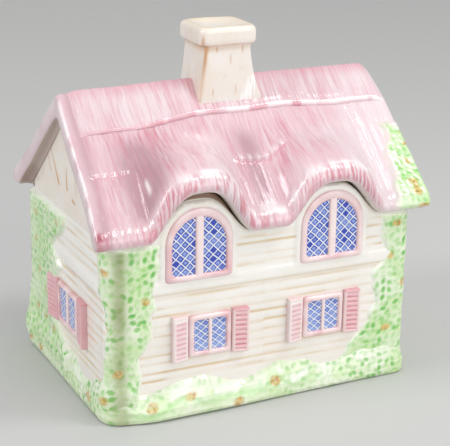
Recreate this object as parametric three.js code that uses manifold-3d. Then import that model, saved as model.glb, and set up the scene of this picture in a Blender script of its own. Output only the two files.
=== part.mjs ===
// Lidded cottage jar in glazed earthenware: the jar is the house and the lid is its thatched roof.
// Millimetres. +X runs along the ridge to the right, -Y is the front and +Z is up.
// The origin is under the middle of the foot, on the surface that the jar stands on.

import * as THREE from "three";
import { mergeVertices } from "three/addons/utils/BufferGeometryUtils.js";
import Module from "manifold-3d";

const wasm = await Module();
wasm.setup();

// Jar
const wallHalfLength = 95;
const wallHalfDepth = 66;
const wallThickness = 5;
const wallCornerRadius = 8;
const insideCornerRadius = 4;
const rimHeight = 104;
const footRecess = 2;
const footRimWidth = 9;
const footEdge = 1.5;
const floorThickness = 6;
const floorCove = 4;

// Wall tops that rise behind the dormer windows, in step with the rises of the eave
const dormerCornerDistance = 53.5;
const dormerCentre = wallHalfLength - dormerCornerDistance;
const dormerWallRise = 20.5;

// Dormer windows, as a frame with two lights and a lattice slab behind them
const dormerHalfWidth = 20.5;
const dormerSillBelowRim = 25;
const dormerSpringBelowRim = 3;
const dormerLightDrop = 1.5;
const dormerSideBar = 4.5;
const dormerSillBar = 4;
const dormerMullion = 6.2;
const dormerSill = rimHeight - dormerSillBelowRim;
const dormerSpring = rimHeight - dormerSpringBelowRim;
const dormerLightSpring = dormerSpring - dormerLightDrop;

// Lower windows on the long walls, seen from outside
const lowerLeftShift = 7;
const lowerRightShift = 4.1;
const lowerLeftCentre = lowerLeftShift - dormerCentre;
const lowerRightCentre = dormerCentre - lowerRightShift;
const lowerHalfWidth = 13.2;
const lowerSill = 33;
const lowerHeight = 25.5;
const lowerMullion = 3;
const lowerBar = 3.6;
const lowerShutterWidth = 9.6;

// Windows in the end walls
const endWindowY = -4;
const endHalfWidth = 17;
const endSill = 34;
const endHeight = 26;
const endMullion = 4.8;
const endBar = 3.6;
const endShutterWidth = 12;

// Window relief
const frameThickness = 2.6;
const latticeThickness = 1;
const latticeLap = 1.2;
const latticeClearance = 0.3;

// Shutters
const shutterGap = 0.4;
const shutterInnerThickness = 2.2;
const shutterOuterThickness = 4.2;
const shutterOverhang = 0.6;
const shutterStile = 1.5;
const louvreCount = 8;
const louvreDepth = 0.8;
const louvreLand = 0.7;
const cutProud = 0.1;

// Hedge round the foot and ivy up the corners
const reliefGap = 0.3;
const reliefEdge = 0.5;
const hedgeFoot = 0.6;
const hedgeHeight = 18;
const hedgeWave = 3;
const hedgeWaveLength = 58;
const hedgeStationStep = 11;
const hedgeProfile = [[0, 0.85], [0.15, 1], [0.4, 0.9], [0.68, 0.6], [0.88, 0.32], [1, 0.12]];

// The bank of the hedge: how far it reaches out, and where along each long wall it grows and fades
const hedgeReachLeast = 3;
const hedgeBankReach = 6.4;
const hedgeBankLead = 12;
const hedgeBankRise = 32;
const hedgeBankHold = 40;
const hedgeBankFall = 150;
const hedgeBankRest = 0.1;

// Ivy on the walls: its width along the long wall and along the end wall at each corner
const ivyFrontLeftLong = 25;
const ivyFrontLeftEnd = 14;
const ivyFrontRightLong = 24;
const ivyFrontRightEnd = 25;
const ivyBackLeftLong = 24;
const ivyBackLeftEnd = 33;
const ivyBackRightLong = 26;
const ivyBackRightEnd = 18;
const ivyThin = 1;
const ivyPlain = 1.8;
const ivyThick = 3;
const ivyFadeShare = 0.25;
const ivySpans = 4;
const ivyFoot = hedgeHeight + hedgeWave + reliefGap;
const ivyTopGap = 1;
const ivyWaveLength = 46;
const ivyWaveShare = 0.13;

// Lid: thatched roof
const thatchThickness = 7;
const ridgeRounding = 2;
const eaveSwell = 8.8;
const eaveSwellPower = 1.2;
const eaveOverhang = 6;
const eaveHalfDepth = wallHalfDepth + eaveOverhang;
const eaveLip = 8.5;
const ridgeLineSum = rimHeight + eaveLip + eaveHalfDepth - eaveSwell;
const eaveNose = 1.9;
const eaveNoseProfile = [[0.7, 0.76], [1, 0.48], [0.5, 0.16]];
const eaveUndercut = 1.5;
const ridgeOverhang = 4.5;
const rakeOverhang = 8.6;
const ridgeHalfLength = wallHalfLength + ridgeOverhang;
const eaveHalfLength = wallHalfLength + rakeOverhang;
const rakeProfile = [[0, 0], [0.14, 0.2], [0.3, 0.32], [0.66, 0.38], [0.82, 0.66], [0.92, 0.9], [1, 1]];
const rakeExtraThickness = 3;
const rakeThickness = thatchThickness + rakeExtraThickness;
const rakeChamfer = 1.6;
const rakeRingShares = [0.04, 0.5];
const ledgeWidth = 15.5;
const overhangLedgeWidth = 9;
const ledgeHalfDepth = eaveHalfDepth - ledgeWidth;
const overhangLedgeHalfDepth = eaveHalfDepth - overhangLedgeWidth;

// Eyebrow rises of the eave over the dormers
const leftRise = 25.7;
const rightRise = 22.5;
const riseHalfWidth = 32;
const riseSharpness = 1.45;
const humpTop = 22;

// Ridge cap
const ridgeCapLeftReach = 23;
const ridgeCapRightReach = 21;
const ridgeCapThickness = 1.6;
const ridgeCapInset = 2.5;

// Ivy over the right end of the roof
const roofIvyWidth = 26.6;
const roofIvyStart = eaveHalfLength - roofIvyWidth;
const roofIvyLean = 11;
const roofIvyWave = 2.5;
const roofIvyTop = 30;
const roofIvyRelief = 3;
const roofIvySpans = 6;
const roofIvySideFade = 0.4;
const roofIvyTopFade = 0.33;

// Gable panels and locating flange
const gableThickness = 7;
const pieceGap = 0.3;
const flangeClearance = 0.7;
const flangeThickness = 4;
const flangeDepth = 8;

// Chimney
const chimneyCentreX = -0.8;
const chimneyNeckHalfLength = 14.3;
const chimneyNeckHalfDepth = 15.2;
const chimneyFootSpread = 3.9;
const chimneyFootSlip = 1.8;
const chimneyFootDrop = 9.7;
const chimneyNeckRise = 21.3;
const chimneyFootHeight = ridgeLineSum - chimneyFootDrop;
const chimneyNeckHeight = ridgeLineSum + chimneyNeckRise;
const chimneyFlarePower = 1.2;
const chimneySlipPower = 3;
const chimneyWall = 4.5;
const chimneyCorner = 1.6;
const chimneyLevels = 7;
const chimneyRoofMargin = 10;
const crownHalfX = 17.8;
const crownHalfY = 17.2;
const crownHeight = 11;
const crownCorner = 4.2;
const crownEdge = 2.6;
const crownRound = 0.3;
const dishInset = 4.5;
const dishDepth = 2.6;
const dishSlope = 2;

// Fineness of the curved surfaces
const cornerSteps = 5;
const archSteps = 8;
const riseSteps = 12;
const ivyLevels = 8;

const glaze = (name, colour, roughness = 0.18) =>
  new THREE.MeshStandardMaterial({ name, color: colour, roughness, metalness: 0 });

const creamGlaze = () => glaze("cream_wall", 0xefe6da);
const pinkGlaze = () => glaze("pink_thatch", 0xe6b8c4);
const trimGlaze = () => glaze("pink_trim", 0xe9a9b4);
const latticeGlaze = () => glaze("blue_lattice", 0x5b78c8);
const ivyGlaze = () => glaze("green_ivy", 0xb4dca4);
const chimneyGlaze = () => glaze("cream_chimney", 0xf0e2cf);

// Vertical lift that leaves the piece gap square to a slope of 45 degrees.
const slopeGap = pieceGap * Math.SQRT2;

const smooth = (share) => {
  const s = THREE.MathUtils.clamp(share, 0, 1);
  return s * s * (3 - 2 * s);
};

// A closed skin over rings of points that all have the same count, wound to face out.
function loft(rings, flat, joined = false) {
  const count = rings[0].length;
  const positions = rings.flat().flatMap((p) => [p.x, p.y, p.z]);
  const faces = [];
  const spans = joined ? rings.length : rings.length - 1;
  for (let i = 0; i < spans; i += 1) {
    const next = (i + 1) % rings.length;
    for (let j = 0; j < count; j += 1) {
      const k = (j + 1) % count;
      const a = i * count + j;
      const b = i * count + k;
      const c = next * count + k;
      const d = next * count + j;
      faces.push(a, b, c, a, c, d);
    }
  }
  if (!joined) {
    const last = (rings.length - 1) * count;
    const capFaces = (ring) => {
      const contour = ring.map(flat);
      const turned = THREE.ShapeUtils.isClockWise(contour);
      if (turned) contour.reverse();
      const index = (n) => (turned ? count - 1 - n : n);
      return THREE.ShapeUtils.triangulateShape(contour, []).map(([a, b, c]) =>
        turned ? [index(c), index(b), index(a)] : [a, b, c]);
    };
    capFaces(rings[0]).forEach(([a, b, c]) => faces.push(c, b, a));
    capFaces(rings[rings.length - 1]).forEach(([a, b, c]) => faces.push(last + a, last + b, last + c));
  }
  const geometry = new THREE.BufferGeometry();
  geometry.setAttribute("position", new THREE.Float32BufferAttribute(positions, 3));
  geometry.setIndex(signedVolume(positions, faces) < 0 ? faces.reverse() : faces);
  return geometry;
}

function signedVolume(positions, faces) {
  const corner = (n) => new THREE.Vector3().fromArray(positions, 3 * n);
  let volume = 0;
  for (let i = 0; i < faces.length; i += 3) {
    volume += corner(faces[i]).dot(corner(faces[i + 1]).cross(corner(faces[i + 2])));
  }
  return volume;
}

const onXY = (p) => new THREE.Vector2(p.x, p.y);
const onYZ = (p) => new THREE.Vector2(p.y, p.z);

function solidFrom(geometry) {
  const bare = geometry.clone();
  bare.deleteAttribute("normal");
  bare.deleteAttribute("uv");
  const merged = mergeVertices(bare);
  return new wasm.Manifold(new wasm.Mesh({
    numProp: 3,
    vertProperties: new Float32Array(merged.attributes.position.array),
    triVerts: new Uint32Array(merged.index.array),
  }));
}

function geometryFrom(solid) {
  const { vertProperties, triVerts } = solid.getMesh();
  const geometry = new THREE.BufferGeometry();
  geometry.setAttribute("position", new THREE.Float32BufferAttribute(vertProperties, 3));
  geometry.setIndex([...triVerts]);
  return geometry;
}

function part(name, geometry, material) {
  geometry.computeVertexNormals();
  const mesh = new THREE.Mesh(geometry, material);
  mesh.name = name;
  return mesh;
}

// A rounded rectangle at one height, counter-clockwise seen from above.
function roundedRing(halfX, halfY, radius, z, centreX = 0) {
  const points = [];
  const quarters = [[1, 1], [-1, 1], [-1, -1], [1, -1]];
  quarters.forEach(([sx, sy], quarter) => {
    for (let step = 0; step <= cornerSteps; step += 1) {
      const angle = (quarter + step / cornerSteps) * Math.PI / 2;
      points.push(new THREE.Vector3(
        centreX + sx * (halfX - radius) + radius * Math.cos(angle),
        sy * (halfY - radius) + radius * Math.sin(angle),
        z));
    }
  });
  return points;
}

const wallRing = (inset, z, radius = wallCornerRadius) =>
  roundedRing(wallHalfLength - inset, wallHalfDepth - inset, radius, z);

// An outline with a straight foot and a half-round head, in the plane of a wall.
function archedOutline(halfWidth, sill, spring) {
  const shape = new THREE.Shape();
  shape.moveTo(-halfWidth, sill);
  shape.lineTo(halfWidth, sill);
  shape.lineTo(halfWidth, spring);
  shape.absarc(0, spring, halfWidth, 0, Math.PI, false);
  shape.closePath();
  return shape;
}

function rectangleOutline(left, right, bottom, top) {
  const shape = new THREE.Shape();
  shape.moveTo(left, bottom);
  shape.lineTo(right, bottom);
  shape.lineTo(right, top);
  shape.lineTo(left, top);
  shape.closePath();
  return shape;
}

const extruded = (shape, depth) =>
  new THREE.ExtrudeGeometry(shape, { depth, bevelEnabled: false, curveSegments: archSteps });

// Stands an outline drawn in X and Z upright, its thickness running from startY towards +Y.
function upright(shape, startY, depth) {
  const geometry = extruded(shape, depth);
  geometry.rotateX(Math.PI / 2);
  geometry.translate(0, startY + depth, 0);
  return geometry;
}

// How far a rise has lifted at a distance from its middle, from 1 there to 0 at its foot.
function riseShare(distance) {
  const share = Math.abs(distance) / riseHalfWidth;
  return share >= 1 ? 0 : 0.5 + 0.5 * Math.cos(Math.PI * share ** riseSharpness);
}

// Places across one rise, which the wall top and the eave share.
const riseStations = (centre) =>
  Array.from({ length: riseSteps + 1 }, (_, n) => centre + riseHalfWidth * (2 * n / riseSteps - 1));

function risenWallTop(centre) {
  const foot = rimHeight - wallThickness;
  const stations = riseStations(centre);
  const shape = new THREE.Shape();
  shape.moveTo(stations[0], foot);
  shape.lineTo(stations[riseSteps], foot);
  for (const x of stations.slice().reverse()) {
    shape.lineTo(x, rimHeight + dormerWallRise * riseShare(x - centre));
  }
  shape.closePath();
  return shape;
}

// The jar: walls, floor and a foot rim round a shallow recess, with two risen tops on each long wall.
function jarShell() {
  const recessRadius = insideCornerRadius;
  const rings = [
    wallRing(footRimWidth + 1, footRecess, recessRadius),
    wallRing(footRimWidth, 0, recessRadius),
    wallRing(footEdge, 0, wallCornerRadius - footEdge),
    wallRing(0, footEdge),
    wallRing(0, rimHeight),
    wallRing(wallThickness, rimHeight, insideCornerRadius),
    wallRing(wallThickness, footRecess + floorThickness + floorCove, insideCornerRadius),
    wallRing(wallThickness + floorCove, footRecess + floorThickness, insideCornerRadius),
  ];
  let solid = solidFrom(loft(rings, onXY));
  for (const centre of [-dormerCentre, dormerCentre]) {
    const top = risenWallTop(centre);
    const front = solidFrom(upright(top, -wallHalfDepth, wallThickness));
    const back = solidFrom(upright(top, wallHalfDepth - wallThickness, wallThickness));
    solid = solid.add(front).add(back);
  }
  return part("jar_shell", geometryFrom(solid), creamGlaze());
}

// Lengths along the outline of the walls
const cornerArc = wallCornerRadius * Math.PI / 2;
const straightX = 2 * (wallHalfLength - wallCornerRadius);
const straightY = 2 * (wallHalfDepth - wallCornerRadius);
const perimeter = 2 * (straightX + straightY) + 4 * cornerArc;

// The remainder of a length in a span, never negative.
const wrapped = (length, span) => ((length % span) + span) % span;

// A point on the outer wall, offset outwards, at a distance along its outline from the middle of the front.
function perimeterPoint(distance, offset, z) {
  const corners = [
    { x: 1, y: -1, turn: -Math.PI / 2, run: straightX / 2 },
    { x: 1, y: 1, turn: 0, run: straightY },
    { x: -1, y: 1, turn: Math.PI / 2, run: straightX },
    { x: -1, y: -1, turn: Math.PI, run: straightY },
    { x: 1, y: -1, turn: -Math.PI / 2, run: straightX },
  ];
  const reach = wallCornerRadius + offset;
  let left = wrapped(distance, perimeter);
  const { x, y, turn, run } = corners.find((corner) => {
    if (left <= corner.run + cornerArc) return true;
    left -= corner.run + cornerArc;
    return false;
  });
  const angle = turn + Math.max(left - run, 0) / wallCornerRadius;
  const back = Math.max(run - left, 0);
  return new THREE.Vector3(
    x * straightX / 2 + reach * Math.cos(angle) + back * Math.sin(angle),
    y * straightY / 2 + reach * Math.sin(angle) - back * Math.cos(angle),
    z);
}

// Distances along the outline, close together round the corners and wider along the walls.
function perimeterStations(step) {
  const walls = [straightX / 2, straightY, straightX, straightY, straightX / 2];
  const stations = [];
  let start = 0;
  const add = (length, count) => {
    for (let n = 0; n < count; n += 1) stations.push(start + length * n / count);
    start += length;
  };
  walls.forEach((length, n) => {
    if (n > 0) add(cornerArc, cornerSteps);
    add(length, Math.round(length / step));
  });
  return stations;
}

// How far the hedge reaches out, most in front of the left part of each long wall.
function hedgeReach(distance) {
  const along = wrapped(distance + straightX / 2 + hedgeBankLead, perimeter / 2);
  const fall = smooth((along - hedgeBankHold) / hedgeBankFall);
  return hedgeReachLeast + hedgeBankReach * smooth(along / hedgeBankRise) * (1 - (1 - hedgeBankRest) * fall);
}

// The clipped hedge, a bank round the foot of the walls.
function footHedge() {
  const waves = Math.round(perimeter / hedgeWaveLength);
  const rings = perimeterStations(hedgeStationStep).map((distance) => {
    const top = hedgeHeight + hedgeWave * Math.sin(2 * Math.PI * waves * distance / perimeter);
    const height = (share) => hedgeFoot + (top - hedgeFoot) * share;
    const reach = hedgeReach(distance);
    return [
      perimeterPoint(distance, reliefGap, height(0)),
      ...hedgeProfile.map(([share, out]) => perimeterPoint(distance, reliefGap + reach * out, height(share))),
      perimeterPoint(distance, reliefGap, height(1)),
    ];
  });
  return part("foot_hedge", loft(rings, onXY, true), ivyGlaze());
}

// Ivy that climbs one corner, with its width along the long wall and along the end wall.
function cornerIvy({ name, corner, longWidth, endWidth, phase, thickness }) {
  const toCorner = (straightX + cornerArc) / 2;
  const middles = {
    front_right: toCorner,
    back_right: perimeter / 2 - toCorner,
    back_left: perimeter / 2 + toCorner,
    front_left: perimeter - toCorner,
  };
  const middle = middles[corner];
  const longFirst = corner === "front_right" || corner === "back_left";
  const rings = [];
  for (let i = 0; i <= ivyLevels; i += 1) {
    const z = ivyFoot + (rimHeight - ivyTopGap - ivyFoot) * i / ivyLevels;
    const wave = (shift) => 1 + ivyWaveShare * Math.cos(2 * Math.PI * z / ivyWaveLength + phase + shift);
    const before = (longFirst ? longWidth : endWidth) * wave(0);
    const after = (longFirst ? endWidth : longWidth) * wave(2);
    const half = cornerArc / 2;
    const stations = [];
    for (let n = 0; n < ivySpans; n += 1) stations.push(-before + (before - half) * n / ivySpans);
    for (let n = 0; n <= cornerSteps; n += 1) stations.push(cornerArc * n / cornerSteps - half);
    for (let n = 1; n <= ivySpans; n += 1) stations.push(half + (after - half) * n / ivySpans);
    const relief = (station) => {
      const share = (station + before) / (before + after);
      const rise = smooth(share / ivyFadeShare) * smooth((1 - share) / ivyFadeShare);
      return reliefGap + reliefEdge + (thickness - reliefEdge) * rise;
    };
    const inner = stations.map((s) => perimeterPoint(middle + s, reliefGap, z));
    const outer = stations.map((s) => perimeterPoint(middle + s, relief(s), z));
    rings.push([...inner, ...outer.reverse()]);
  }
  return part(name, loft(rings, onXY), ivyGlaze());
}

// One window in the plane of its wall: X along the wall, Y up, Z out of the wall.
// The frame is rebated behind, and the lattice slab sits in the rebate.
function windowPieces(name, outline, lights, slabOutline, rebateOutline) {
  const rebate = extruded(rebateOutline, latticeThickness + latticeClearance);
  let frame = solidFrom(extruded(outline, frameThickness)).subtract(solidFrom(rebate));
  for (const light of lights) frame = frame.subtract(solidFrom(extruded(light, frameThickness)));
  return [
    part(`${name}_frame`, geometryFrom(frame), trimGlaze()),
    part(`${name}_lattice`, extruded(slabOutline, latticeThickness), latticeGlaze()),
  ];
}

function archedLight(side, half, mullionHalf, sill, spring) {
  const light = new THREE.Shape();
  const lean = Math.acos(mullionHalf / half);
  light.moveTo(side * mullionHalf, sill);
  light.lineTo(side * half, sill);
  if (side > 0) light.absarc(0, spring, half, 0, lean, false);
  else light.absarc(0, spring, half, Math.PI, Math.PI - lean, true);
  light.closePath();
  return light;
}

function dormerWindow(name) {
  const half = dormerHalfWidth - dormerSideBar;
  const sill = dormerSill + dormerSillBar;
  const lights = [-1, 1].map((side) => archedLight(side, half, dormerMullion / 2, sill, dormerLightSpring));
  const slab = (lap) => archedOutline(half + lap, sill - lap, dormerLightSpring);
  return windowPieces(
    name,
    archedOutline(dormerHalfWidth, dormerSill, dormerSpring),
    lights,
    slab(latticeLap),
    slab(latticeLap + latticeClearance));
}

function squareWindow(name, { half, sill, height, bar, mullion }) {
  const inner = half - bar;
  const lightSill = sill + bar;
  const lightHead = sill + height - bar;
  const lights = [-1, 1].map((side) => {
    const near = side * mullion / 2;
    const far = side * inner;
    return rectangleOutline(Math.min(near, far), Math.max(near, far), lightSill, lightHead);
  });
  const slab = (lap) => rectangleOutline(-inner - lap, inner + lap, lightSill - lap, lightHead + lap);
  return windowPieces(
    name,
    rectangleOutline(-half, half, sill, sill + height),
    lights,
    slab(latticeLap),
    slab(latticeLap + latticeClearance));
}

// A louvred shutter whose outer edge stands further out than its inner edge.
function shutter(name, side, start, width, bottom, height) {
  const section = new THREE.Shape();
  section.moveTo(0, 0);
  section.lineTo(width, 0);
  section.lineTo(width, shutterOuterThickness);
  section.lineTo(0, shutterInnerThickness);
  section.closePath();
  const body = extruded(section, height);
  body.rotateX(Math.PI / 2);
  body.translate(0, bottom + height, 0);
  let solid = solidFrom(body);
  const lean = Math.atan2(shutterOuterThickness - shutterInnerThickness, width);
  const pitch = (height - 2 * shutterStile) / louvreCount;
  const length = (width - 2 * shutterStile) / Math.cos(lean);
  const groove = new THREE.Shape();
  groove.moveTo(0, cutProud);
  groove.lineTo(louvreLand - pitch, cutProud);
  groove.lineTo(0, -louvreDepth);
  groove.closePath();
  for (let n = 0; n < louvreCount; n += 1) {
    const cut = extruded(groove, length);
    cut.rotateX(Math.PI / 2);
    cut.rotateZ(Math.PI / 2);
    cut.rotateY(-lean);
    cut.translate(
      shutterStile,
      bottom + shutterStile + pitch * (n + 1) - louvreLand / 2,
      shutterInnerThickness + shutterStile * Math.tan(lean));
    solid = solid.subtract(solidFrom(cut));
  }
  const geometry = geometryFrom(solid);
  if (side < 0) {
    geometry.scale(-1, 1, 1);
    geometry.setIndex([...geometry.index.array].reverse());
  }
  geometry.translate(side * start, 0, 0);
  return part(name, geometry, trimGlaze());
}

function shutteredWindow(name, size, shutterWidth) {
  const start = size.half + shutterGap;
  const bottom = size.sill - shutterOverhang;
  const height = size.height + 2 * shutterOverhang;
  return [
    ...squareWindow(name, size),
    shutter(`${name}_shutter_left`, -1, start, shutterWidth, bottom, height),
    shutter(`${name}_shutter_right`, 1, start, shutterWidth, bottom, height),
  ];
}

const lowerWindow = {
  half: lowerHalfWidth, sill: lowerSill, height: lowerHeight, bar: lowerBar, mullion: lowerMullion,
};
const endWindow = {
  half: endHalfWidth, sill: endSill, height: endHeight, bar: endBar, mullion: endMullion,
};

// A group in the plane of one outer wall, turned from the front wall by a number of quarter turns.
function wallGroup(quarterTurns, distance, windows) {
  const plane = new THREE.Group();
  plane.position.y = -distance;
  plane.rotation.x = Math.PI / 2;
  for (const { centre, pieces } of windows) {
    const place = new THREE.Group();
    place.position.x = centre;
    place.add(...pieces);
    plane.add(place);
  }
  const turned = new THREE.Group();
  turned.rotation.z = quarterTurns * Math.PI / 2;
  turned.add(plane);
  return turned;
}

const longWallWindows = (side) => [
  { centre: -dormerCentre, pieces: dormerWindow(`${side}_dormer_left`) },
  { centre: dormerCentre, pieces: dormerWindow(`${side}_dormer_right`) },
  { centre: lowerLeftCentre, pieces: shutteredWindow(`${side}_window_left`, lowerWindow, lowerShutterWidth) },
  { centre: lowerRightCentre, pieces: shutteredWindow(`${side}_window_right`, lowerWindow, lowerShutterWidth) },
];

// Height of the eave's lower edge above the rim, which rises over each dormer.
const eaveRise = (x) => leftRise * riseShare(x + dormerCentre) + rightRise * riseShare(x - dormerCentre);

// The lip keeps its thickness across the slanted flanks of a rise.
function lipHeight(x) {
  const slant = (eaveRise(x + slantSpan) - eaveRise(x - slantSpan)) / (2 * slantSpan);
  return eaveLip * Math.hypot(1, slant);
}

// Outer surface of the thatch at a distance from the ridge line, measured level.
function thatchHeight(x, t) {
  const below = Math.max(t - humpTop, 0) / (eaveHalfDepth - humpTop);
  const swell = eaveSwell * (Math.min(t, eaveHalfDepth) / eaveHalfDepth) ** eaveSwellPower;
  const slope = ridgeLineSum + swell - Math.hypot(t, ridgeRounding);
  const lift = eaveRise(x) + lipHeight(x) - eaveLip;
  return slope + lift * smooth(below);
}

const slopeShares = [0, 0.04, 0.11, 0.2, 0.3, 0.4, 0.5, 0.6, 0.7, 0.79, 0.87, 0.94, 1];
const slopeStations = slopeShares.map((share) => share * eaveHalfDepth);
const ridgeCapShares = [0, 0.14, 0.36, 0.64, 1];
const soffitShares = [1, 0.86, 0.72, 0.58, 0.44, 0.3, 0.16, 0];
const slantSpan = 0.5;

function soffitHeight(x, t, thickness = thatchThickness) {
  const middle = Math.max(t, 2 * slantSpan);
  const slant = (thatchHeight(x, middle + slantSpan) - thatchHeight(x, middle - slantSpan)) / (2 * slantSpan);
  return thatchHeight(x, t) - thickness * Math.hypot(1, slant);
}

// Half of the roof's section from the ridge out to the eave and back under, as level distance and height.
function halfSection(x, ledge, thickness) {
  const foot = rimHeight + eaveRise(x);
  const lip = lipHeight(x);
  const edge = thatchHeight(x, eaveHalfDepth) - foot;
  const outer = slopeStations.map((t) => [t, thatchHeight(x, t)]);
  const nose = eaveNoseProfile.map(([out, up]) =>
    [eaveHalfDepth + eaveNose * out, foot + Math.min(edge, lip) * up]);
  nose.push([eaveHalfDepth - eaveUndercut, foot]);
  const soffit = soffitShares.map((share) => [ledge * share, soffitHeight(x, ledge * share, thickness)]);
  const under = [[ledge, foot], ...soffit];
  return { outer: [...outer, ...nose], under };
}

// The full section at one station, front to back over the top and back to front underneath.
function roofSection(x, ledge, thickness) {
  const { outer, under } = halfSection(x, ledge, thickness);
  const front = ([t, z]) => new THREE.Vector2(-t, z);
  const back = ([t, z]) => new THREE.Vector2(t, z);
  return [
    ...outer.slice(1).reverse().map(front),
    ...outer.map(back),
    ...under.map(back),
    ...under.slice(0, -1).reverse().map(front),
  ];
}

// Moves every corner of a closed section inwards along its own normal.
function insetSection(section, inset) {
  return section.map((p, i) => {
    const before = section[(i + section.length - 1) % section.length];
    const after = section[(i + 1) % section.length];
    const along = after.clone().sub(before).normalize();
    return new THREE.Vector2(p.x + along.y * inset, p.y - along.x * inset);
  });
}

function roofStations() {
  const inside = wallHalfLength;
  const stations = [-inside, ...riseStations(-dormerCentre), 0, ...riseStations(dormerCentre), inside];
  return stations.sort((a, b) => a - b);
}

// The value of a profile of [share, value] corners at a share of its length.
function profileAt(profile, share) {
  const next = Math.max(profile.findIndex(([at]) => at >= share), 1);
  const [from, low] = profile[next - 1];
  const [to, high] = profile[next];
  return THREE.MathUtils.mapLinear(share, from, to, low, high);
}

// Past the gable the roof's end is nearly straight down the slope and flares at the eave.
const rakeReach = (t, share) => {
  const down = Math.min(Math.abs(t) / eaveHalfDepth, 1);
  const end = THREE.MathUtils.lerp(ridgeHalfLength, eaveHalfLength, profileAt(rakeProfile, down));
  return wallHalfLength + (end - wallHalfLength) * share;
};

function roofRings() {
  const overhang = roofSection(wallHalfLength + 1, overhangLedgeHalfDepth, rakeThickness);
  const tip = insetSection(overhang, rakeChamfer);
  const endRing = (side, section, share) =>
    section.map((p) => new THREE.Vector3(side * rakeReach(p.x, share), p.x, p.y));
  const [near, far] = rakeRingShares;
  return [
    endRing(-1, tip, 1),
    endRing(-1, overhang, far),
    endRing(-1, overhang, near),
    ...roofStations().map((x) => roofSection(x, ledgeHalfDepth).map((p) => new THREE.Vector3(x, p.x, p.y))),
    endRing(1, overhang, near),
    endRing(1, overhang, far),
    endRing(1, tip, 1),
  ];
}

// The outside of the stack, flared along the ridge, most of all to the right at its foot, and grown by a
// clearance where it has to clear its neighbour.
function stackRings(bottom, grow = 0) {
  return Array.from({ length: chimneyLevels + 1 }, (_, i) => {
    const z = bottom + (chimneyNeckHeight - bottom) * i / chimneyLevels;
    const down = Math.min((chimneyNeckHeight - z) / (chimneyNeckHeight - chimneyFootHeight), 1);
    const flare = chimneyFootSpread * down ** chimneyFlarePower;
    const slip = chimneyFootSlip * down ** chimneySlipPower;
    const halfX = chimneyNeckHalfLength + grow + flare + slip;
    return roundedRing(halfX, chimneyNeckHalfDepth + grow, chimneyCorner, z, chimneyCentreX + slip);
  });
}

// Level of the stack's lowest corners, just under the slopes that they stand on.
const stackBottom = () => thatchHeight(0, chimneyNeckHalfDepth) - pieceGap;

// A bar of square section with rounded corners, straight up through the ridge.
function chimneyBore(bottom, top) {
  const halfX = chimneyNeckHalfLength - chimneyWall;
  const halfY = chimneyNeckHalfDepth - chimneyWall;
  return solidFrom(loft([
    roundedRing(halfX, halfY, chimneyCorner / 2, bottom, chimneyCentreX),
    roundedRing(halfX, halfY, chimneyCorner / 2, top, chimneyCentreX),
  ], onXY));
}

function roofShell() {
  const shell = solidFrom(loft(roofRings(), onYZ));
  const bored = shell.subtract(chimneyBore(rimHeight, chimneyNeckHeight));
  return part("roof_shell", geometryFrom(bored), pinkGlaze());
}

// The thicker course of thatch along the ridge, open where the chimney stands.
function ridgeCap() {
  const ring = (side, reach) => {
    const lower = ridgeCapShares
      .map((share) => share * reach)
      .map((t) => [t, thatchHeight(wallHalfLength, t) + slopeGap]);
    const upper = lower.map(([t, z]) => [t, z + ridgeCapThickness * Math.SQRT2]);
    const section = [
      ...upper.slice(1).reverse().map(([t, z]) => [-t, z]),
      ...upper,
      ...lower.slice().reverse(),
      ...lower.slice(1).map(([t, z]) => [-t, z]),
    ];
    return section.map(([y, z]) => new THREE.Vector3(side * (rakeReach(y, 1) - ridgeCapInset), y, z));
  };
  const rings = [ring(-1, ridgeCapLeftReach), ring(1, ridgeCapRightReach)];
  const well = solidFrom(loft(stackRings(stackBottom(), pieceGap), onXY));
  const cap = solidFrom(loft(rings, onYZ)).subtract(well);
  return part("ridge_cap", geometryFrom(cap), pinkGlaze());
}

// Ivy and blossom that spread over the right end of one slope.
function roofIvy(name, side) {
  const stations = slopeStations.filter((t) => t > roofIvyTop);
  const rings = [];
  for (let i = 0; i <= roofIvySpans; i += 1) {
    const share = i / roofIvySpans;
    const rise = (t) => {
      const down = (t - stations[0]) / (eaveHalfDepth - stations[0]);
      const swell = smooth(share / roofIvySideFade) * smooth(down / roofIvyTopFade);
      return (reliefEdge + (roofIvyRelief - reliefEdge) * swell) * Math.SQRT2;
    };
    const start = (t) => {
      const up = (eaveHalfDepth - t) / (eaveHalfDepth - stations[0]);
      return roofIvyStart + roofIvyLean * up + roofIvyWave * Math.sin(2 * Math.PI * up) ** 2;
    };
    const reach = (t) => THREE.MathUtils.lerp(start(t), rakeReach(t, 1) - rakeChamfer, share);
    const lower = stations.map((t) =>
      new THREE.Vector3(reach(t), side * t, thatchHeight(wallHalfLength, t) + slopeGap));
    const upper = lower.map((p) => new THREE.Vector3(p.x, p.y, p.z + rise(Math.abs(p.y))));
    rings.push([...lower, ...upper.reverse()]);
  }
  return part(name, loft(rings, onYZ), ivyGlaze());
}

// A gable panel under the thatch, a small gap inside the roof's soffit.
function gable(name, side) {
  const reach = ledgeHalfDepth - pieceGap;
  const slope = soffitShares.map((share) => {
    const t = ledgeHalfDepth * share;
    return [Math.min(t, reach), soffitHeight(wallHalfLength, t) - 1.5 * slopeGap];
  });
  const points = [
    [-reach, rimHeight],
    ...slope.map(([t, z]) => [-t, z]),
    ...slope.slice(0, -1).reverse(),
    [reach, rimHeight],
  ];
  const inner = side * (wallHalfLength - gableThickness);
  const outer = side * wallHalfLength;
  const rings = [inner, outer].map((x) => points.map(([y, z]) => new THREE.Vector3(x, y, z)));
  return part(name, loft(rings, onYZ), creamGlaze());
}

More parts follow.
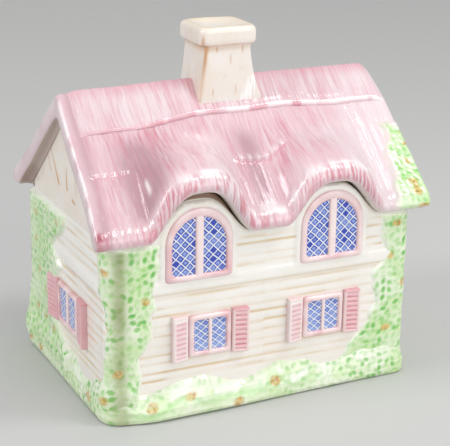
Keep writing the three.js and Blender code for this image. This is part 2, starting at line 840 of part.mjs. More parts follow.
// The collar under the lid that drops inside the jar's rim.
function locatingFlange() {
  const outerX = wallHalfLength - wallThickness - flangeClearance;
  const outerY = wallHalfDepth - wallThickness - flangeClearance;
  const level = (inset, z) => roundedRing(outerX - inset, outerY - inset, insideCornerRadius, z);
  const rings = [
    level(0, rimHeight),
    level(0, rimHeight - flangeDepth + 1),
    level(1, rimHeight - flangeDepth),
    level(flangeThickness, rimHeight - flangeDepth),
    level(flangeThickness, rimHeight),
  ];
  const across = rings[0].map((_, n) => rings.map((ring) => ring[n]));
  return part("locating_flange", loft(across, onXY, true), creamGlaze());
}

// The hollow stack, cut to the ridge it straddles.
function chimneyStack() {
  const reach = chimneyNeckHalfLength + chimneyFootSpread + 2 * chimneyFootSlip + chimneyRoofMargin;
  const under = slopeStations.filter((t) => t < reach + chimneyRoofMargin);
  const roofLine = [
    ...under.slice(1).reverse().map((t) => [-t, thatchHeight(0, t) + slopeGap]),
    ...under.map((t) => [t, thatchHeight(0, t) + slopeGap]),
  ];
  const last = under[under.length - 1];
  const block = [...roofLine, [last, rimHeight], [-last, rimHeight]];
  const roofBlock = loft([-reach, reach].map((x) => block.map(([y, z]) => new THREE.Vector3(x, y, z))), onYZ);
  const stack = solidFrom(loft(stackRings(stackBottom()), onXY))
    .subtract(solidFrom(roofBlock))
    .subtract(chimneyBore(rimHeight, chimneyNeckHeight + 1));
  return part("chimney_stack", geometryFrom(stack), chimneyGlaze());
}

// The moulded crown that closes the stack, with a shallow dish in its top.
function chimneyCrown() {
  const top = chimneyNeckHeight + crownHeight;
  const level = (inset, z) =>
    roundedRing(crownHalfX - inset, crownHalfY - inset, crownCorner, z, chimneyCentreX);
  const rings = [
    level(crownEdge, chimneyNeckHeight),
    level(crownEdge * crownRound, chimneyNeckHeight + crownEdge * crownRound),
    level(0, chimneyNeckHeight + crownEdge),
    level(0, top - crownEdge),
    level(crownEdge * crownRound, top - crownEdge * crownRound),
    level(crownEdge, top),
    level(dishInset, top),
    level(dishInset + dishSlope, top - dishDepth),
  ];
  return part("chimney_crown", loft(rings, onXY), chimneyGlaze());
}

const jar = new THREE.Group();
jar.name = "jar";
jar.add(
  jarShell(),
  footHedge(),
  cornerIvy({
    name: "ivy_front_left", corner: "front_left",
    longWidth: ivyFrontLeftLong, endWidth: ivyFrontLeftEnd, phase: 0.4, thickness: ivyPlain,
  }),
  cornerIvy({
    name: "ivy_front_right", corner: "front_right",
    longWidth: ivyFrontRightLong, endWidth: ivyFrontRightEnd, phase: 2.2, thickness: ivyThin,
  }),
  cornerIvy({
    name: "ivy_back_left", corner: "back_left",
    longWidth: ivyBackLeftLong, endWidth: ivyBackLeftEnd, phase: 1.1, thickness: ivyThick,
  }),
  cornerIvy({
    name: "ivy_back_right", corner: "back_right",
    longWidth: ivyBackRightLong, endWidth: ivyBackRightEnd, phase: 3.3, thickness: ivyPlain,
  }),
  wallGroup(0, wallHalfDepth, longWallWindows("front")),
  wallGroup(2, wallHalfDepth, longWallWindows("back")),
  wallGroup(-1, wallHalfLength, [
    { centre: -endWindowY, pieces: shutteredWindow("left_end_window", endWindow, endShutterWidth) },
  ]),
  wallGroup(1, wallHalfLength, [
    { centre: endWindowY, pieces: shutteredWindow("right_end_window", endWindow, endShutterWidth) },
  ]),
);

const lid = new THREE.Group();
lid.name = "lid";
lid.add(
  roofShell(),
  ridgeCap(),
  roofIvy("roof_ivy_front", -1),
  roofIvy("roof_ivy_back", 1),
  gable("gable_left", -1),
  gable("gable_right", 1),
  locatingFlange(),
  chimneyStack(),
  chimneyCrown(),
);

const cottageJar = new THREE.Group();
cottageJar.name = "cottage_jar";
cottageJar.add(jar, lid);

export default cottageJar;
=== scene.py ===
"""Glazed cottage jar with its thatched lid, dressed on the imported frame.

All shapes are worked out in millimetres and turned to metres when a piece is made.
+X runs along the ridge to the right, -Y is the front and +Z is up.
"""

import math

import bmesh
import bpy
import numpy as np
from mathutils import Matrix, Vector


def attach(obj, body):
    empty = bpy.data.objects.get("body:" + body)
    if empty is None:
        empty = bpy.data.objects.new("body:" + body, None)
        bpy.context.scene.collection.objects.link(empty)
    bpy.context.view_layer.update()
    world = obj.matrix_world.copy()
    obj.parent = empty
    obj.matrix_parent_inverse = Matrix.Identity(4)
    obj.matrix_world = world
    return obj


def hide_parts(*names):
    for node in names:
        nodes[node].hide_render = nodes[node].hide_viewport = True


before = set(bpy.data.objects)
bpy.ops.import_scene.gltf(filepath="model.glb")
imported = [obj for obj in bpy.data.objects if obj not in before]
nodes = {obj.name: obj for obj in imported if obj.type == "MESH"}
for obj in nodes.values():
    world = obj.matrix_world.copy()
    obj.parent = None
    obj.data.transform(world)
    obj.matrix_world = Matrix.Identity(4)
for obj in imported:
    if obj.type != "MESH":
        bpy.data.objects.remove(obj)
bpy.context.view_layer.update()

MM = 0.001
SHARP_ANGLE = 50.0

# Jar
WALL_X = 95.0
WALL_Y = 66.0
WALL_THICKNESS = 5.0
CORNER = 8.0
INNER_CORNER = 4.0
RIM = 104.0
FOOT_RECESS = 2.0
FOOT_RIM = 9.0
FOOT_EDGE = 1.5
FLOOR_TOP = 8.0
FLOOR_COVE = 4.0
DORMER_X = 41.5
DORMER_WALL_RISE = 20.5
JAR_COLUMNS = 492

# Painted lines between the boards, a raised course over the lower windows, and the thin lip inside the
# raised wall tops: how far in, and which share of its height
BOARD_LINES = (22.5, 27.0, 32.0, 37.2, 42.5, 48.2, 54.0, 59.8, 65.5, 70.5, 84.0, 89.0, 96.0, 100.0)
WALL_COURSE_LOW = 72.4
WALL_COURSE_HIGH = 81.5
LIP_INSIDE = ((2.2, 0.25), (2.35, 0.6), (2.6, 0.9), (3.2, 1.0), (4.2, 1.0), (4.8, 0.9))

# Hedge: its height, and its section as a share of the height and a share of its reach
HEDGE_HEIGHT = 18.0
HEDGE_SECTION = ((0, 0.72), (0.06, 0.9), (0.15, 1), (0.4, 0.92), (0.68, 0.62), (0.88, 0.3), (1, 0.0))
HEDGE_COLUMNS = 600

# Ivy up the corners: its width at a row of heights, along the long wall and along the end wall, how thick
# it is and the seed of its leaves
IVY_FOOT = 9.0
IVY_TOP = 103.0
IVY_LEVELS = (19, 28, 38, 48, 58, 68, 78, 90, 103)
IVY = {
    "front_left": ((20, 21, 17, 24, 27, 26, 27, 29, 33), (12, 9, 7, 6, 5, 7, 11, 13, 14), 1.8, 71),
    "front_right": ((42, 36, 28, 22, 27, 23, 17, 21, 19), (25, 24, 27, 23, 25, 28, 24, 22, 24), 1.3, 81),
    "back_left": ((26, 24, 28, 25, 22, 26, 24, 27, 25), (76, 56, 47, 44, 50, 60, 46, 58, 70), 3.0, 91),
    "back_right": ((30, 27, 24, 28, 25, 27, 22, 25, 28), (18, 20, 16, 19, 17, 20, 18, 16, 19), 1.8, 101),
}

# Ivy over the right end of the roof: where it starts on the slope, how far it hangs below the eave, how far
# its base is sunk, and the section of the lip it hangs over, as fall and reach
ROOF_IVY_TOP = 30.5
ROOF_IVY_DROP = 7.4
ROOF_IVY_SUNK = 0.56
LIP_SECTION = ((0.0, 0.0), (2.0, 1.33), (4.2, 1.9), (7.1, 0.95), (8.5, -1.5))

# Windows
DORMER_HALF = 20.5
DORMER_SILL = 79.0
DORMER_SPRING = 101.0
DORMER_LIGHT_HALF = 16.0
DORMER_LIGHT_SILL = 83.0
DORMER_LIGHT_SPRING = 99.5
DORMER_POST = 5.0
LOWER_CENTRES = {"left": -34.5, "right": 37.4}
LOWER = dict(half=13.2, sill=33.0, height=25.5, bar=3.6, mullion=3.0, shutter=9.6)
END = dict(half=17.0, sill=34.0, height=26.0, bar=3.6, mullion=4.8, shutter=12.0)
END_Y = -4.0
FRAME_THICKNESS = 2.2
LATTICE_THICKNESS = 1.0
LATTICE_LAP = 1.2
SHUTTER_GAP = 0.4
SHUTTER_INNER = 2.2
SHUTTER_OUTER = 4.2
SHUTTER_OVERHANG = 0.6
SHUTTER_STILE = 1.7
LOUVRES = 8
PANE_X = 5.6
PANE_Z = 5.3
LOWER_PANE_Z = 4.4
LOWER_MILK = 0.45

# Section of a window's band, from its outer to its inner edge, and of its post: place and height
BAND_SECTION = ((0.0, 0.0), (0.02, 0.3), (0.08, 0.56), (0.2, 0.82), (0.36, 0.96), (0.55, 1.0), (0.74, 0.95),
                (0.88, 0.78), (0.96, 0.5), (1.0, 0.2), (1.0, 0.0))
POST_SECTION = ((-1, 0), (-1, 0.62), (-0.8, 0.86), (-0.45, 0.98), (0, 1), (0.45, 0.98), (0.8, 0.86),
                (1, 0.62), (1, 0))

# Rounded edge of a shutter: how far in from its outline, and how far below its face
SHUTTER_EDGE = ((0.0, 9.0), (0.0, 0.75), (0.12, 0.45), (0.4, 0.16), (0.9, 0.02))

# Tones of the paler left and the rosier right shutter of a window: rose of its slats, rose all over, rose
# along its top, how pale its stiles are, and how pale it is all over. The left one is partly painted light
# and the right one partly painted shade; the rose along the top is paint
LEFT_SHUTTER = (0.6, 0.0, 0.15, 0.25, 0.3)
RIGHT_SHUTTER = (0.95, 0.12, 0.7, 0.3, 0.0)

# Thatch
THATCH = 7.0
RIDGE_SUM = 175.7
RIDGE_ROUND = 2.0
EAVE_SWELL = 8.8
EAVE_Y = 72.0
LIP = 8.5
NOSE = 1.9
NOSE_PROFILE = ((0.7, 0.76), (1.0, 0.48), (0.5, 0.16))
EAVE_UNDERCUT = 1.5
RIDGE_X = 99.5
EAVE_X = 103.6
RAKE_PROFILE = ((0.0, 0.0), (0.14, 0.2), (0.3, 0.32), (0.66, 0.38), (0.82, 0.66), (0.92, 0.9), (1.0, 1.0))
RAKE_THATCH = 10.0
RAKE_FILLETS = ((0.1, 3.2), (0.4, 1.3), (0.7, 0.3))
RAKE_TURNS = (0, 15, 30, 45, 60, 75, 90)
RAKE_RUN = 3.0
RAKE_RUN_UNDER = 2.2
RAKE_ROUND = 2.8
RAKE_UNDER = 2.4
LEDGE_Y = 56.5
OVERHANG_LEDGE_Y = 63.0
LEFT_RISE = 25.7
RIGHT_RISE = 22.5
RISE_HALF = 32.0
RISE_SHARPNESS = 1.45
HUMP_TOP = 22.0
RIGHT_SWELL = 2.0
NOSE_ROWS = (4, 4, 4, 3)
SLOPE_ROWS, LEDGE_ROWS, SOFFIT_ROWS = 91, 8, 26
ON_SLOPE, ON_NOSE, ON_LEDGE, ON_SOFFIT = 0, 1, 2, 3

# Ridge cap: its ends, its thickness, and how far down the slope it reaches at places along the ridge
CAP_LEFT = -94.6
CAP_RIGHT = 94.5
CAP_THICKNESS = 1.6
CAP_GAP = 0.3
CAP_BEAD = 0.8
CAP_ROWS, CAP_BEAD_ROWS = 69, 7
CAP_UNDER, CAP_TOP, CAP_EDGE = 0, 1, 2
CAP_REACHES = ((-100, 23.6), (-82, 23.6), (-60, 22.6), (-46, 21.4), (-27, 20.0), (-3, 18.8), (44, 19.2),
               (91, 20.8), (100, 22.0))

# Painted and carved touches of the thatch: a raised course half way down it, the grooves of its fringe,
# the painted shade of the valleys (place, width, strength, where it starts and over how far) and two spots
# of dark wine
COURSE_Y = 43.5
COURSE_STITCH = 5.2
FLUTE_PITCH = 4.3
BARE_RIM = 2.2
BEAD_WIDTH = 7.5
VALLEYS = ((-69, 9.5, 1.4, 24, 18), (1, 8, 0.95, 22, 14))
WINE_SPOT = (-101.0, 71.5, 1.7, 1.9)
WINE_SPOT_FAINT = (-97.5, 72.0, 1.8, 2.0)

# Chimney
STACK_X = -0.8
STACK_HALF_X = 14.3
STACK_HALF_Y = 15.2
STACK_SPREAD = 3.9
STACK_SLIP = 1.8
STACK_BASE = 162.4
STACK_FOOT = 166.0
STACK_NECK = 197.0
STACK_CORNER = 1.6
STACK_WALL = 4.5
STACK_ROWS = 64
STACK_PER_SIDE = 44
CROWN_X = 17.8
CROWN_Y = 17.2
CROWN_CORNER = 4.4

# Dabs of glaze on the chimney stack: place across a face, height, half length and strength
STACK_DABS = ((-8.3, 194.9, 1.6, 0.9), (0.6, 188.8, 2.8, 0.7), (8.0, 194.4, 2.4, 0.75),
              (-10.4, 170.4, 2.2, 0.8), (4.1, 171.0, 3.2, 0.6), (9.9, 170.2, 0.8, 0.35),
              (-3.5, 179.0, 1.6, 0.3), (6.5, 183.0, 1.4, 0.25))

# Section of the chimney crown from its foot out, up and into its bowl, as height and inset, and how dark
# the glaze lies in the bowl from its rim to its middle
CROWN_SECTION = ((0.0, 2.3), (0.3, 1.2), (0.9, 0.45), (1.8, 0.1), (4.0, 0.0), (7.2, 0.0), (8.8, 0.15),
                 (9.9, 0.6), (10.6, 1.3), (10.85, 2.1), (10.8, 3.0), (10.5, 4.2), (10.0, 5.6), (9.4, 7.4),
                 (8.9, 9.4), (8.6, 11.6), (8.45, 14.0), (8.4, 16.9))
CROWN_BOWL = (0.5, 0.9, 0.9, 0.5, 0.3, 0.25, 0.2, 0.15)

# Painted highlights on the front of the roof, in white: place along it, reach down it, both half sizes and
# strength
PAINTED_HIGHLIGHT_PATCHES = ((-67.4, 56.8, 1.0, 4.0, 0.75), (0.3, 67.8, 5.4, 2.6, 0.75), (-35.5, 67.8, 6.0, 1.1, 0.6),
                 (46.0, 68.4, 8.0, 0.9, 0.5))

# Drips of glaze on the gables: depth and height of both ends, and how wide each end is
GABLE_DRIPS = ((23.3, 136.6, 10.5, 118.6, 0.4, 1.3), (29.2, 131.5, 24.4, 123.1, 0.3, 0.5),
               (-2.5, 131.6, -3.4, 119.0, 0.4, 1.2), (-11.6, 115.5, -16.5, 114.0, 1.1, 0.7))

# Paints of the glazes, each by its display values from 0 to 255
# Of the thatch paints, the mauve shade and the brown under the eaves are painted shade, and the near-white is
# painted highlight
THATCH_PAINT = dict(light=(229, 200, 206), dark=(223, 191, 199), pale=(230, 214, 217), wash=(221, 166, 176),
                    stroke=(208, 141, 153), shade=(180, 141, 151), fringe=(210, 137, 148),
                    blush=(214, 136, 148), wine=(158, 82, 97), painted_highlight=(250, 243, 244), cream=(226, 216, 207),
                    painted_underside_shade=(172, 144, 136))
# The brown of the wall paints is painted shade, on the thin lip inside the raised wall tops
WALL_PAINT = dict(light=(246, 243, 237), dark=(241, 237, 229), grain=(234, 221, 200), blush=(240, 216, 203),
                  line=(221, 190, 142), gap=(138, 108, 88))
# The near-white of the leaf and chimney paints is painted highlight, and the leaves' olive is painted shade
LEAF_PAINT = dict(light=(233, 243, 214), dark=(210, 233, 180), fade=(243, 246, 232), leaf=(142, 208, 106),
                  deep=(102, 186, 84), shade=(146, 154, 104), petal=(222, 182, 100), heart=(186, 130, 58),
                  painted_gloss_highlight=(245, 249, 240), bare=(237, 222, 222))
TRIM_PAINT = dict(light=(246, 220, 221), dark=(241, 206, 210), pale=(246, 236, 232), rose=(216, 134, 146))
LATTICE_PAINT = dict(deep=(40, 66, 178), middle=(146, 168, 228), light=(150, 172, 228), milk=(158, 180, 232),
                     lead=(238, 243, 250))
CHIMNEY_PAINT = dict(light=(240, 235, 228), dark=(235, 224, 210), streak=(232, 204, 172),
                     stain=(206, 158, 112), bowl=(234, 216, 184), painted_gloss_highlight=(254, 252, 249))
GABLE_PAINT = dict(light=(240, 232, 222), dark=(232, 221, 208), grain=(214, 186, 152), drip=(208, 152, 92))
INNER_PAINT = dict(light=(238, 232, 222), dark=(230, 222, 208))
# The floor is painted a little darker towards the near left, as painted shade
FLOOR_PAINT = dict(near_left=(195, 196, 196), near_right=(202, 203, 200), far=(202, 202, 200))

# Camera, fitted to the photograph: places in millimetres, turns in radians, focal length in pixels
CAMERA_TARGET = (5.14, -1.274, 85.636)
CAMERA_DISTANCE = 849.809
CAMERA_AZIMUTH = -0.446042
CAMERA_CLIMB = 0.32408
CAMERA_ROLL = 0.015607
CAMERA_PIXELS = 1411.57
SENSOR_WIDTH = 36.0
IMAGE_WIDTH = 450

# Lamps, in metres and watts: place, width, height and power
LAMPS = {
    "key_softbox": ((0.50, -0.42, 1.02), 0.34, 0.34, 3.8),
    "front_fill": ((0.35, -1.7, 0.75), 1.6, 1.1, 11.1),
    "left_strip": ((-1.33, 0.0, 1.0), 0.44, 0.8, 8.0),
}
LAMP_TARGET = (0.0, 0.0, 0.08)
AIR_COLOUR = (0.97, 0.97, 0.98, 1.0)
AIR_STRENGTH = 0.64
FLOOR_HALF = 6.0


def smooth(share):
    """An S-shaped ease from 0 to 1."""
    share = np.clip(share, 0.0, 1.0)
    return share * share * (3.0 - 2.0 * share)


def ramp(value, start, run):
    """From 0 at the start to 1 a run further on, or the other way where the run is negative."""
    return smooth((value - start) / run)


def ramp_straight(value, start, run):
    """The same as ramp, in a straight line."""
    return np.clip((value - start) / run, 0.0, 1.0)


def hump(value, middle, width):
    """A soft bump, 1 at its middle."""
    return np.exp(-((value - middle) / width) ** 2)


def spot(a, b, middle_a, middle_b, half_a, half_b, power=2):
    """A soft spot, 1 at its middle, with a flatter middle and a firmer edge at a higher power."""
    return np.exp(-((a - middle_a) / half_a) ** power - ((b - middle_b) / half_b) ** power)


def both_faces(front, back):
    """A closed band of values: along the front of a piece and back along its rear."""
    return np.concatenate([front, back[:, ::-1]], axis=1)


def mirrored(marks):
    """The marks of a front face, carried round to the rear as well."""
    return {key: both_faces(value, value) for key, value in marks.items()}


def wrapped(marks):
    """The marks of a closed section with its first row once more at its end."""
    return {key: np.concatenate([value, value[:1]]) for key, value in marks.items()}


# Patterns

def scatter(i, j, seed):
    """A repeatable value from 0 to 1 for each whole-number cell."""
    n = (i.astype(np.int64) * 73856093) ^ (j.astype(np.int64) * 19349663) ^ (seed * 83492791)
    n = (n ^ (n >> 13)) & 0x7FFFFFFF
    n = (n * 1103515245 + 12345) & 0x7FFFFFFF
    n = n ^ (n >> 11)
    n = (n * 69069 + 5) & 0x7FFFFFFF
    return ((n >> 7) & 0xFFFF) / 65535.0


def mottle(a, b, seed):
    """Soft noise from 0 to 1 with one bump per unit."""
    a, b = np.broadcast_arrays(np.asarray(a, float), np.asarray(b, float))
    i, j = np.floor(a), np.floor(b)
    u, v = smooth(a - i), smooth(b - j)
    low = scatter(i, j, seed) * (1 - u) + scatter(i + 1, j, seed) * u
    high = scatter(i, j + 1, seed) * (1 - u) + scatter(i + 1, j + 1, seed) * u
    return low * (1 - v) + high * v


def leaves(a, b, seed, length=1.0, width=0.6):
    """Oval leaves, one in each unit cell: how deep inside a leaf a point is, and that leaf's own value."""
    i, j = np.floor(a), np.floor(b)
    best = np.full(a.shape, -9.0)
    tone = np.zeros(a.shape)
    for di in (-1, 0, 1):
        for dj in (-1, 0, 1):
            ci, cj = i + di, j + dj
            x = a - (ci + 0.2 + 0.6 * scatter(ci, cj, seed))
            y = b - (cj + 0.2 + 0.6 * scatter(ci, cj, seed + 1))
            turn = math.pi * (scatter(ci, cj, seed + 2) * 0.9 + 0.05)
            along = (x * np.cos(turn) + y * np.sin(turn)) / (0.5 * length)
            across = (y * np.cos(turn) - x * np.sin(turn)) / (0.5 * width)
            inside = 1 - np.hypot(along, across)
            nearer = inside > best
            best = np.where(nearer, inside, best)
            tone = np.where(nearer, scatter(ci, cj, seed + 3), tone)
    return best, tone


# Shapes of the thatch

def rise_share(distance):
    """Share of an eyebrow rise at a distance from its middle, from 1 down to 0."""
    share = np.minimum(np.abs(distance) / RISE_HALF, 1.0)
    return 0.5 + 0.5 * np.cos(np.pi * share ** RISE_SHARPNESS)


def eave_rise(x):
    """How far the two eyebrow rises lift the eave."""
    return LEFT_RISE * rise_share(x + DORMER_X) + RIGHT_RISE * rise_share(x - DORMER_X)


def eave_slant(x):
    """How steep the eave is along its length."""
    return eave_rise(x + 0.5) - eave_rise(x - 0.5)


def lip_height(x):
    """Height of the eave's lip, more where the eave is steep, so that it looks equally thick."""
    return LIP * np.hypot(1.0, eave_slant(x))


def thatch_height(x, t):
    """Height of the thatch at a distance from the ridge line, to the front or back."""
    below = np.maximum(t - HUMP_TOP, 0.0) / (EAVE_Y - HUMP_TOP)
    swell = EAVE_SWELL * (np.minimum(t, EAVE_Y) / EAVE_Y) ** 1.2
    lift = eave_rise(x) + lip_height(x) - LIP
    return RIDGE_SUM + swell - np.hypot(t, RIDGE_ROUND) + lift * smooth(below)


def soffit_height(x, t, thickness=THATCH):
    """Height of the thatch's underside."""
    middle = np.maximum(t, 1.0)
    slant = thatch_height(x, middle + 0.5) - thatch_height(x, middle - 0.5)
    return thatch_height(x, t) - thickness * np.hypot(1.0, slant)


rake_shares = np.linspace(0.0, 1.0, 97)
rake_line = np.interp(rake_shares, *np.array(RAKE_PROFILE).T)
for _ in range(14):
    rake_line[1:-1] = 0.5 * rake_line[1:-1] + 0.25 * (rake_line[:-2] + rake_line[2:])


def rake_reach(t, share):
    """How far out the left rake reaches, or a share of the way there from the wall."""
    down = np.minimum(np.abs(t) / EAVE_Y, 1.0)
    end = RIDGE_X + (EAVE_X - RIDGE_X) * np.interp(down, rake_shares, rake_line)
    return WALL_X + (end - WALL_X) * share


def right_swell(t):
    """How much further the right rake reaches than the left one, half way down."""
    down = np.abs(t) / EAVE_Y
    return RIGHT_SWELL * smooth(down / 0.3) * ramp(down, 0.97, -0.28)


eave_line = np.linspace(-WALL_X, WALL_X, 761)
eave_steps = np.hypot(1.0, eave_slant(eave_line[:-1])) * np.diff(eave_line)
eave_length = np.concatenate([[0.0], np.cumsum(eave_steps)])
eave_length -= np.interp(0.0, eave_line, eave_length)


def eave_distance(x):
    """Distance along the curved eave from its middle, straight on past the walls."""
    return np.interp(x, eave_line, eave_length) + (x - np.clip(x, -WALL_X, WALL_X))


# Meshes

def skin(name, points, marks, joined=False, capped=False, openings=()):
    """A mesh over a grid of points, rows by columns, that welds wherever the grid meets itself."""
    points = np.asarray(points, float)
    marks = {key: np.broadcast_to(value, points.shape[:2]) for key, value in marks.items()}
    if joined:
        points = np.concatenate([points, points[:, :1]], axis=1)
        marks = {key: np.concatenate([value, value[:, :1]], axis=1) for key, value in marks.items()}
    rows, columns = points.shape[:2]
    shape = bmesh.new()
    bmesh.ops.create_grid(shape, x_segments=columns - 1, y_segments=rows - 1, size=1.0)
    mesh = bpy.data.meshes.new(name)
    shape.to_mesh(mesh)
    shape.free()
    mesh.vertices.foreach_set("co", (points * MM).astype(np.float32).ravel())
    for key, value in marks.items():
        layer = mesh.attributes.new(key, "FLOAT", "POINT")
        layer.data.foreach_set("value", np.ascontiguousarray(value, np.float32).ravel())
    finish_mesh(mesh, capped, openings)
    return placed(name, mesh)


def finish_mesh(mesh, capped, openings):
    """Welds a mesh, closes its ends, joins its openings through to the other side and smooths it."""
    shape = bmesh.new()
    shape.from_mesh(mesh)
    bmesh.ops.remove_doubles(shape, verts=shape.verts[:], dist=0.01 * MM)
    bmesh.ops.dissolve_degenerate(shape, edges=shape.edges[:], dist=0.002 * MM)
    if capped:
        rims = [edge for edge in shape.edges if edge.is_boundary]
        filled = bmesh.ops.holes_fill(shape, edges=rims, sides=0)["faces"]
        bmesh.ops.triangulate(shape, faces=filled)
    for x, half_x, half_y in openings:
        inside = [face for face in shape.faces if in_box(face.calc_center_median(), x, half_x, half_y)]
        bmesh.ops.delete(shape, geom=inside, context="FACES")
        bmesh.ops.bridge_loops(shape, edges=[edge for edge in shape.edges if edge.is_boundary])
    bmesh.ops.recalc_face_normals(shape, faces=shape.faces[:])
    shape.to_mesh(mesh)
    shape.free()
    mesh.shade_smooth()
    mesh.set_sharp_from_angle(angle=math.radians(SHARP_ANGLE))
    mesh.update()


def in_box(point, x, half_x, half_y):
    """Whether a point is in an upright box about the ridge line."""
    return abs(point.x - x * MM) < half_x * MM and abs(point.y) < half_y * MM


def placed(name, mesh):
    piece = bpy.data.objects.new(name, mesh)
    bpy.context.scene.collection.objects.link(piece)
    return piece


def finished(piece, node, body, material):
    """Puts the piece in its node's place and gives it its glaze."""
    piece.data.materials.clear()
    piece.data.materials.append(material)
    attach(piece, body)
    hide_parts(node)
    return piece


def outward(points, joined_rows=False, joined_columns=False):
    """Unit normals of a grid of points, to either side as the grid turns."""
    def step(axis, joined):
        if joined:
            return np.roll(points, -1, axis) - np.roll(points, 1, axis)
        return np.gradient(points, axis=axis)
    normal = np.cross(step(0, joined_rows), step(1, joined_columns))
    length = np.linalg.norm(normal, axis=2, keepdims=True)
    return normal / np.maximum(length, 1e-9)


def rounded(ring, passes):
    """Softens the corners of a closed section, along its rows."""
    for _ in range(passes):
        ring = 0.5 * ring + 0.25 * np.roll(ring, 1, axis=0) + 0.25 * np.roll(ring, -1, axis=0)
    return ring


def between(points, counts):
    """Points along a chain of corners, each an array over the columns, with a count for each span."""
    chain = []
    for start, end, count in zip(points[:-1], points[1:], counts):
        for n in range(count):
            chain.append(start + (end - start) * (n / count))
    chain.append(points[-1])
    return np.array(chain)


# Glazes

def srgb(red, green, blue):
    """A colour given by its display values from 0 to 255."""
    def linear(value):
        value /= 255.0
        return value / 12.92 if value <= 0.04045 else ((value + 0.055) / 1.055) ** 2.4
    return (linear(red), linear(green), linear(blue), 1.0)


class Flow:
    """A socket whose value can be used in sums."""

    def __init__(self, glaze, socket):
        self.glaze = glaze
        self.socket = socket

    def sum(self, operation, first, second=None, clamp=False):
        values = {0: first} if second is None else {0: first, 1: second}
        return self.glaze.add("ShaderNodeMath", {"operation": operation, "use_clamp": clamp}, values)

    def __add__(self, other):
        return self.sum("ADD", self, other)

    def __radd__(self, other):
        return self.sum("ADD", other, self)

    def __sub__(self, other):
        return self.sum("SUBTRACT", self, other)

    def __rsub__(self, other):
        return self.sum("SUBTRACT", other, self)

    def __mul__(self, other):
        return self.sum("MULTIPLY", self, other)

    def __rmul__(self, other):
        return self.sum("MULTIPLY", other, self)

    def __truediv__(self, other):
        return self.sum("DIVIDE", self, other)

    def floor(self):
        return self.sum("FLOOR", self)

    def fraction(self):
        return self.sum("FRACT", self)

    def size(self):
        return self.sum("ABSOLUTE", self)

    def least(self, other):
        return self.sum("MINIMUM", self, other)

    def clamped(self):
        return self.sum("ADD", self, 0.0, clamp=True)


class Glaze:
    """A glossy fired glaze whose colour varies over the piece, mixed from its own paints."""

    def __init__(self, name, paint, roughness=0.16, coat=0.4):
        self.paint = {key: srgb(*tone) for key, tone in paint.items()}
        self.material = bpy.data.materials.new(name)
        self.material.use_nodes = True
        self.tree = self.material.node_tree
        self.tree.nodes.clear()
        self.output = self.tree.nodes.new("ShaderNodeOutputMaterial")
        self.shader = self.tree.nodes.new("ShaderNodeBsdfPrincipled")
        self.tree.links.new(self.shader.outputs[0], self.output.inputs[0])
        self.shader.inputs["Roughness"].default_value = roughness
        self.shader.inputs["Coat Weight"].default_value = coat
        self.shader.inputs["Coat Roughness"].default_value = 0.03
        self.place = self.add("ShaderNodeTexCoord", {}, {}, "Object")

    def feed(self, socket, value):
        if isinstance(value, Flow):
            self.tree.links.new(value.socket, socket)
        else:
            socket.default_value = value

    def add(self, kind, settings, values, output=0):
        node = self.tree.nodes.new(kind)
        for key, value in settings.items():
            setattr(node, key, value)
        for key, value in values.items():
            self.feed(node.inputs[key], value)
        return Flow(self, node.outputs[output])

    def mark(self, name):
        """A value from 0 to 1 that the piece carries at each of its points."""
        settings = {"attribute_name": name, "attribute_type": "GEOMETRY"}
        return self.add("ShaderNodeAttribute", settings, {}, "Fac")

    def axis(self, name):
        return self.add("ShaderNodeSeparateXYZ", {}, {"Vector": self.place}, name)

    def noise(self, scale, detail=2.0, stretch=(1.0, 1.0, 1.0), roughness=0.5):
        """Noise with a number of bumps in a metre, stretched along an axis."""
        place = self.add("ShaderNodeMapping", {}, {"Vector": self.place, "Scale": stretch})
        return self.add("ShaderNodeTexNoise", {},
                        {"Vector": place, "Scale": scale, "Detail": detail, "Roughness": roughness}, "Fac")

    def streaks(self, across, down, per_across, per_down, seed, detail=1.0):
        """Long streaks, with a number of them in a millimetre across and down the piece."""
        place = self.add("ShaderNodeCombineXYZ", {}, {0: across * per_across, 1: down * per_down, 2: seed})
        return self.add("ShaderNodeTexNoise", {}, {"Vector": place, "Scale": 1.0, "Detail": detail}, "Fac")

    def band(self, value, low, high):
        """From 0 to 1 as a value goes from low to high."""
        return self.add("ShaderNodeMapRange", {"interpolation_type": "SMOOTHSTEP"},
                        {"Value": value, "From Min": low, "From Max": high, "To Min": 0.0, "To Max": 1.0})

    def blend(self, share, first, second):
        settings = {"data_type": "RGBA", "blend_type": "MIX", "clamp_factor": True}
        return self.add("ShaderNodeMix", settings, {0: share, 6: first, 7: second}, 2)

    def ground(self, drift, low, high):
        """The glaze's ground, drifting from its light to its dark paint."""
        return self.blend(self.band(drift, low, high), self.paint["light"], self.paint["dark"])

    def laid(self, colour, *names):
        """Lays each named paint over a colour, as far as the mark of the same name says."""
        for name in names:
            colour = self.blend(self.mark(name), colour, self.paint[name])
        return colour

    def finish(self, colour, height=None, depth=0.1, roughness=None):
        self.feed(self.shader.inputs["Base Color"], colour)
        if height is not None:
            bump = self.add("ShaderNodeBump", {}, {"Height": height, "Distance": depth * MM, "Strength": 1.0})
            self.feed(self.shader.inputs["Normal"], bump)
        if roughness is not None:
            self.feed(self.shader.inputs["Roughness"], roughness)
        return self.material


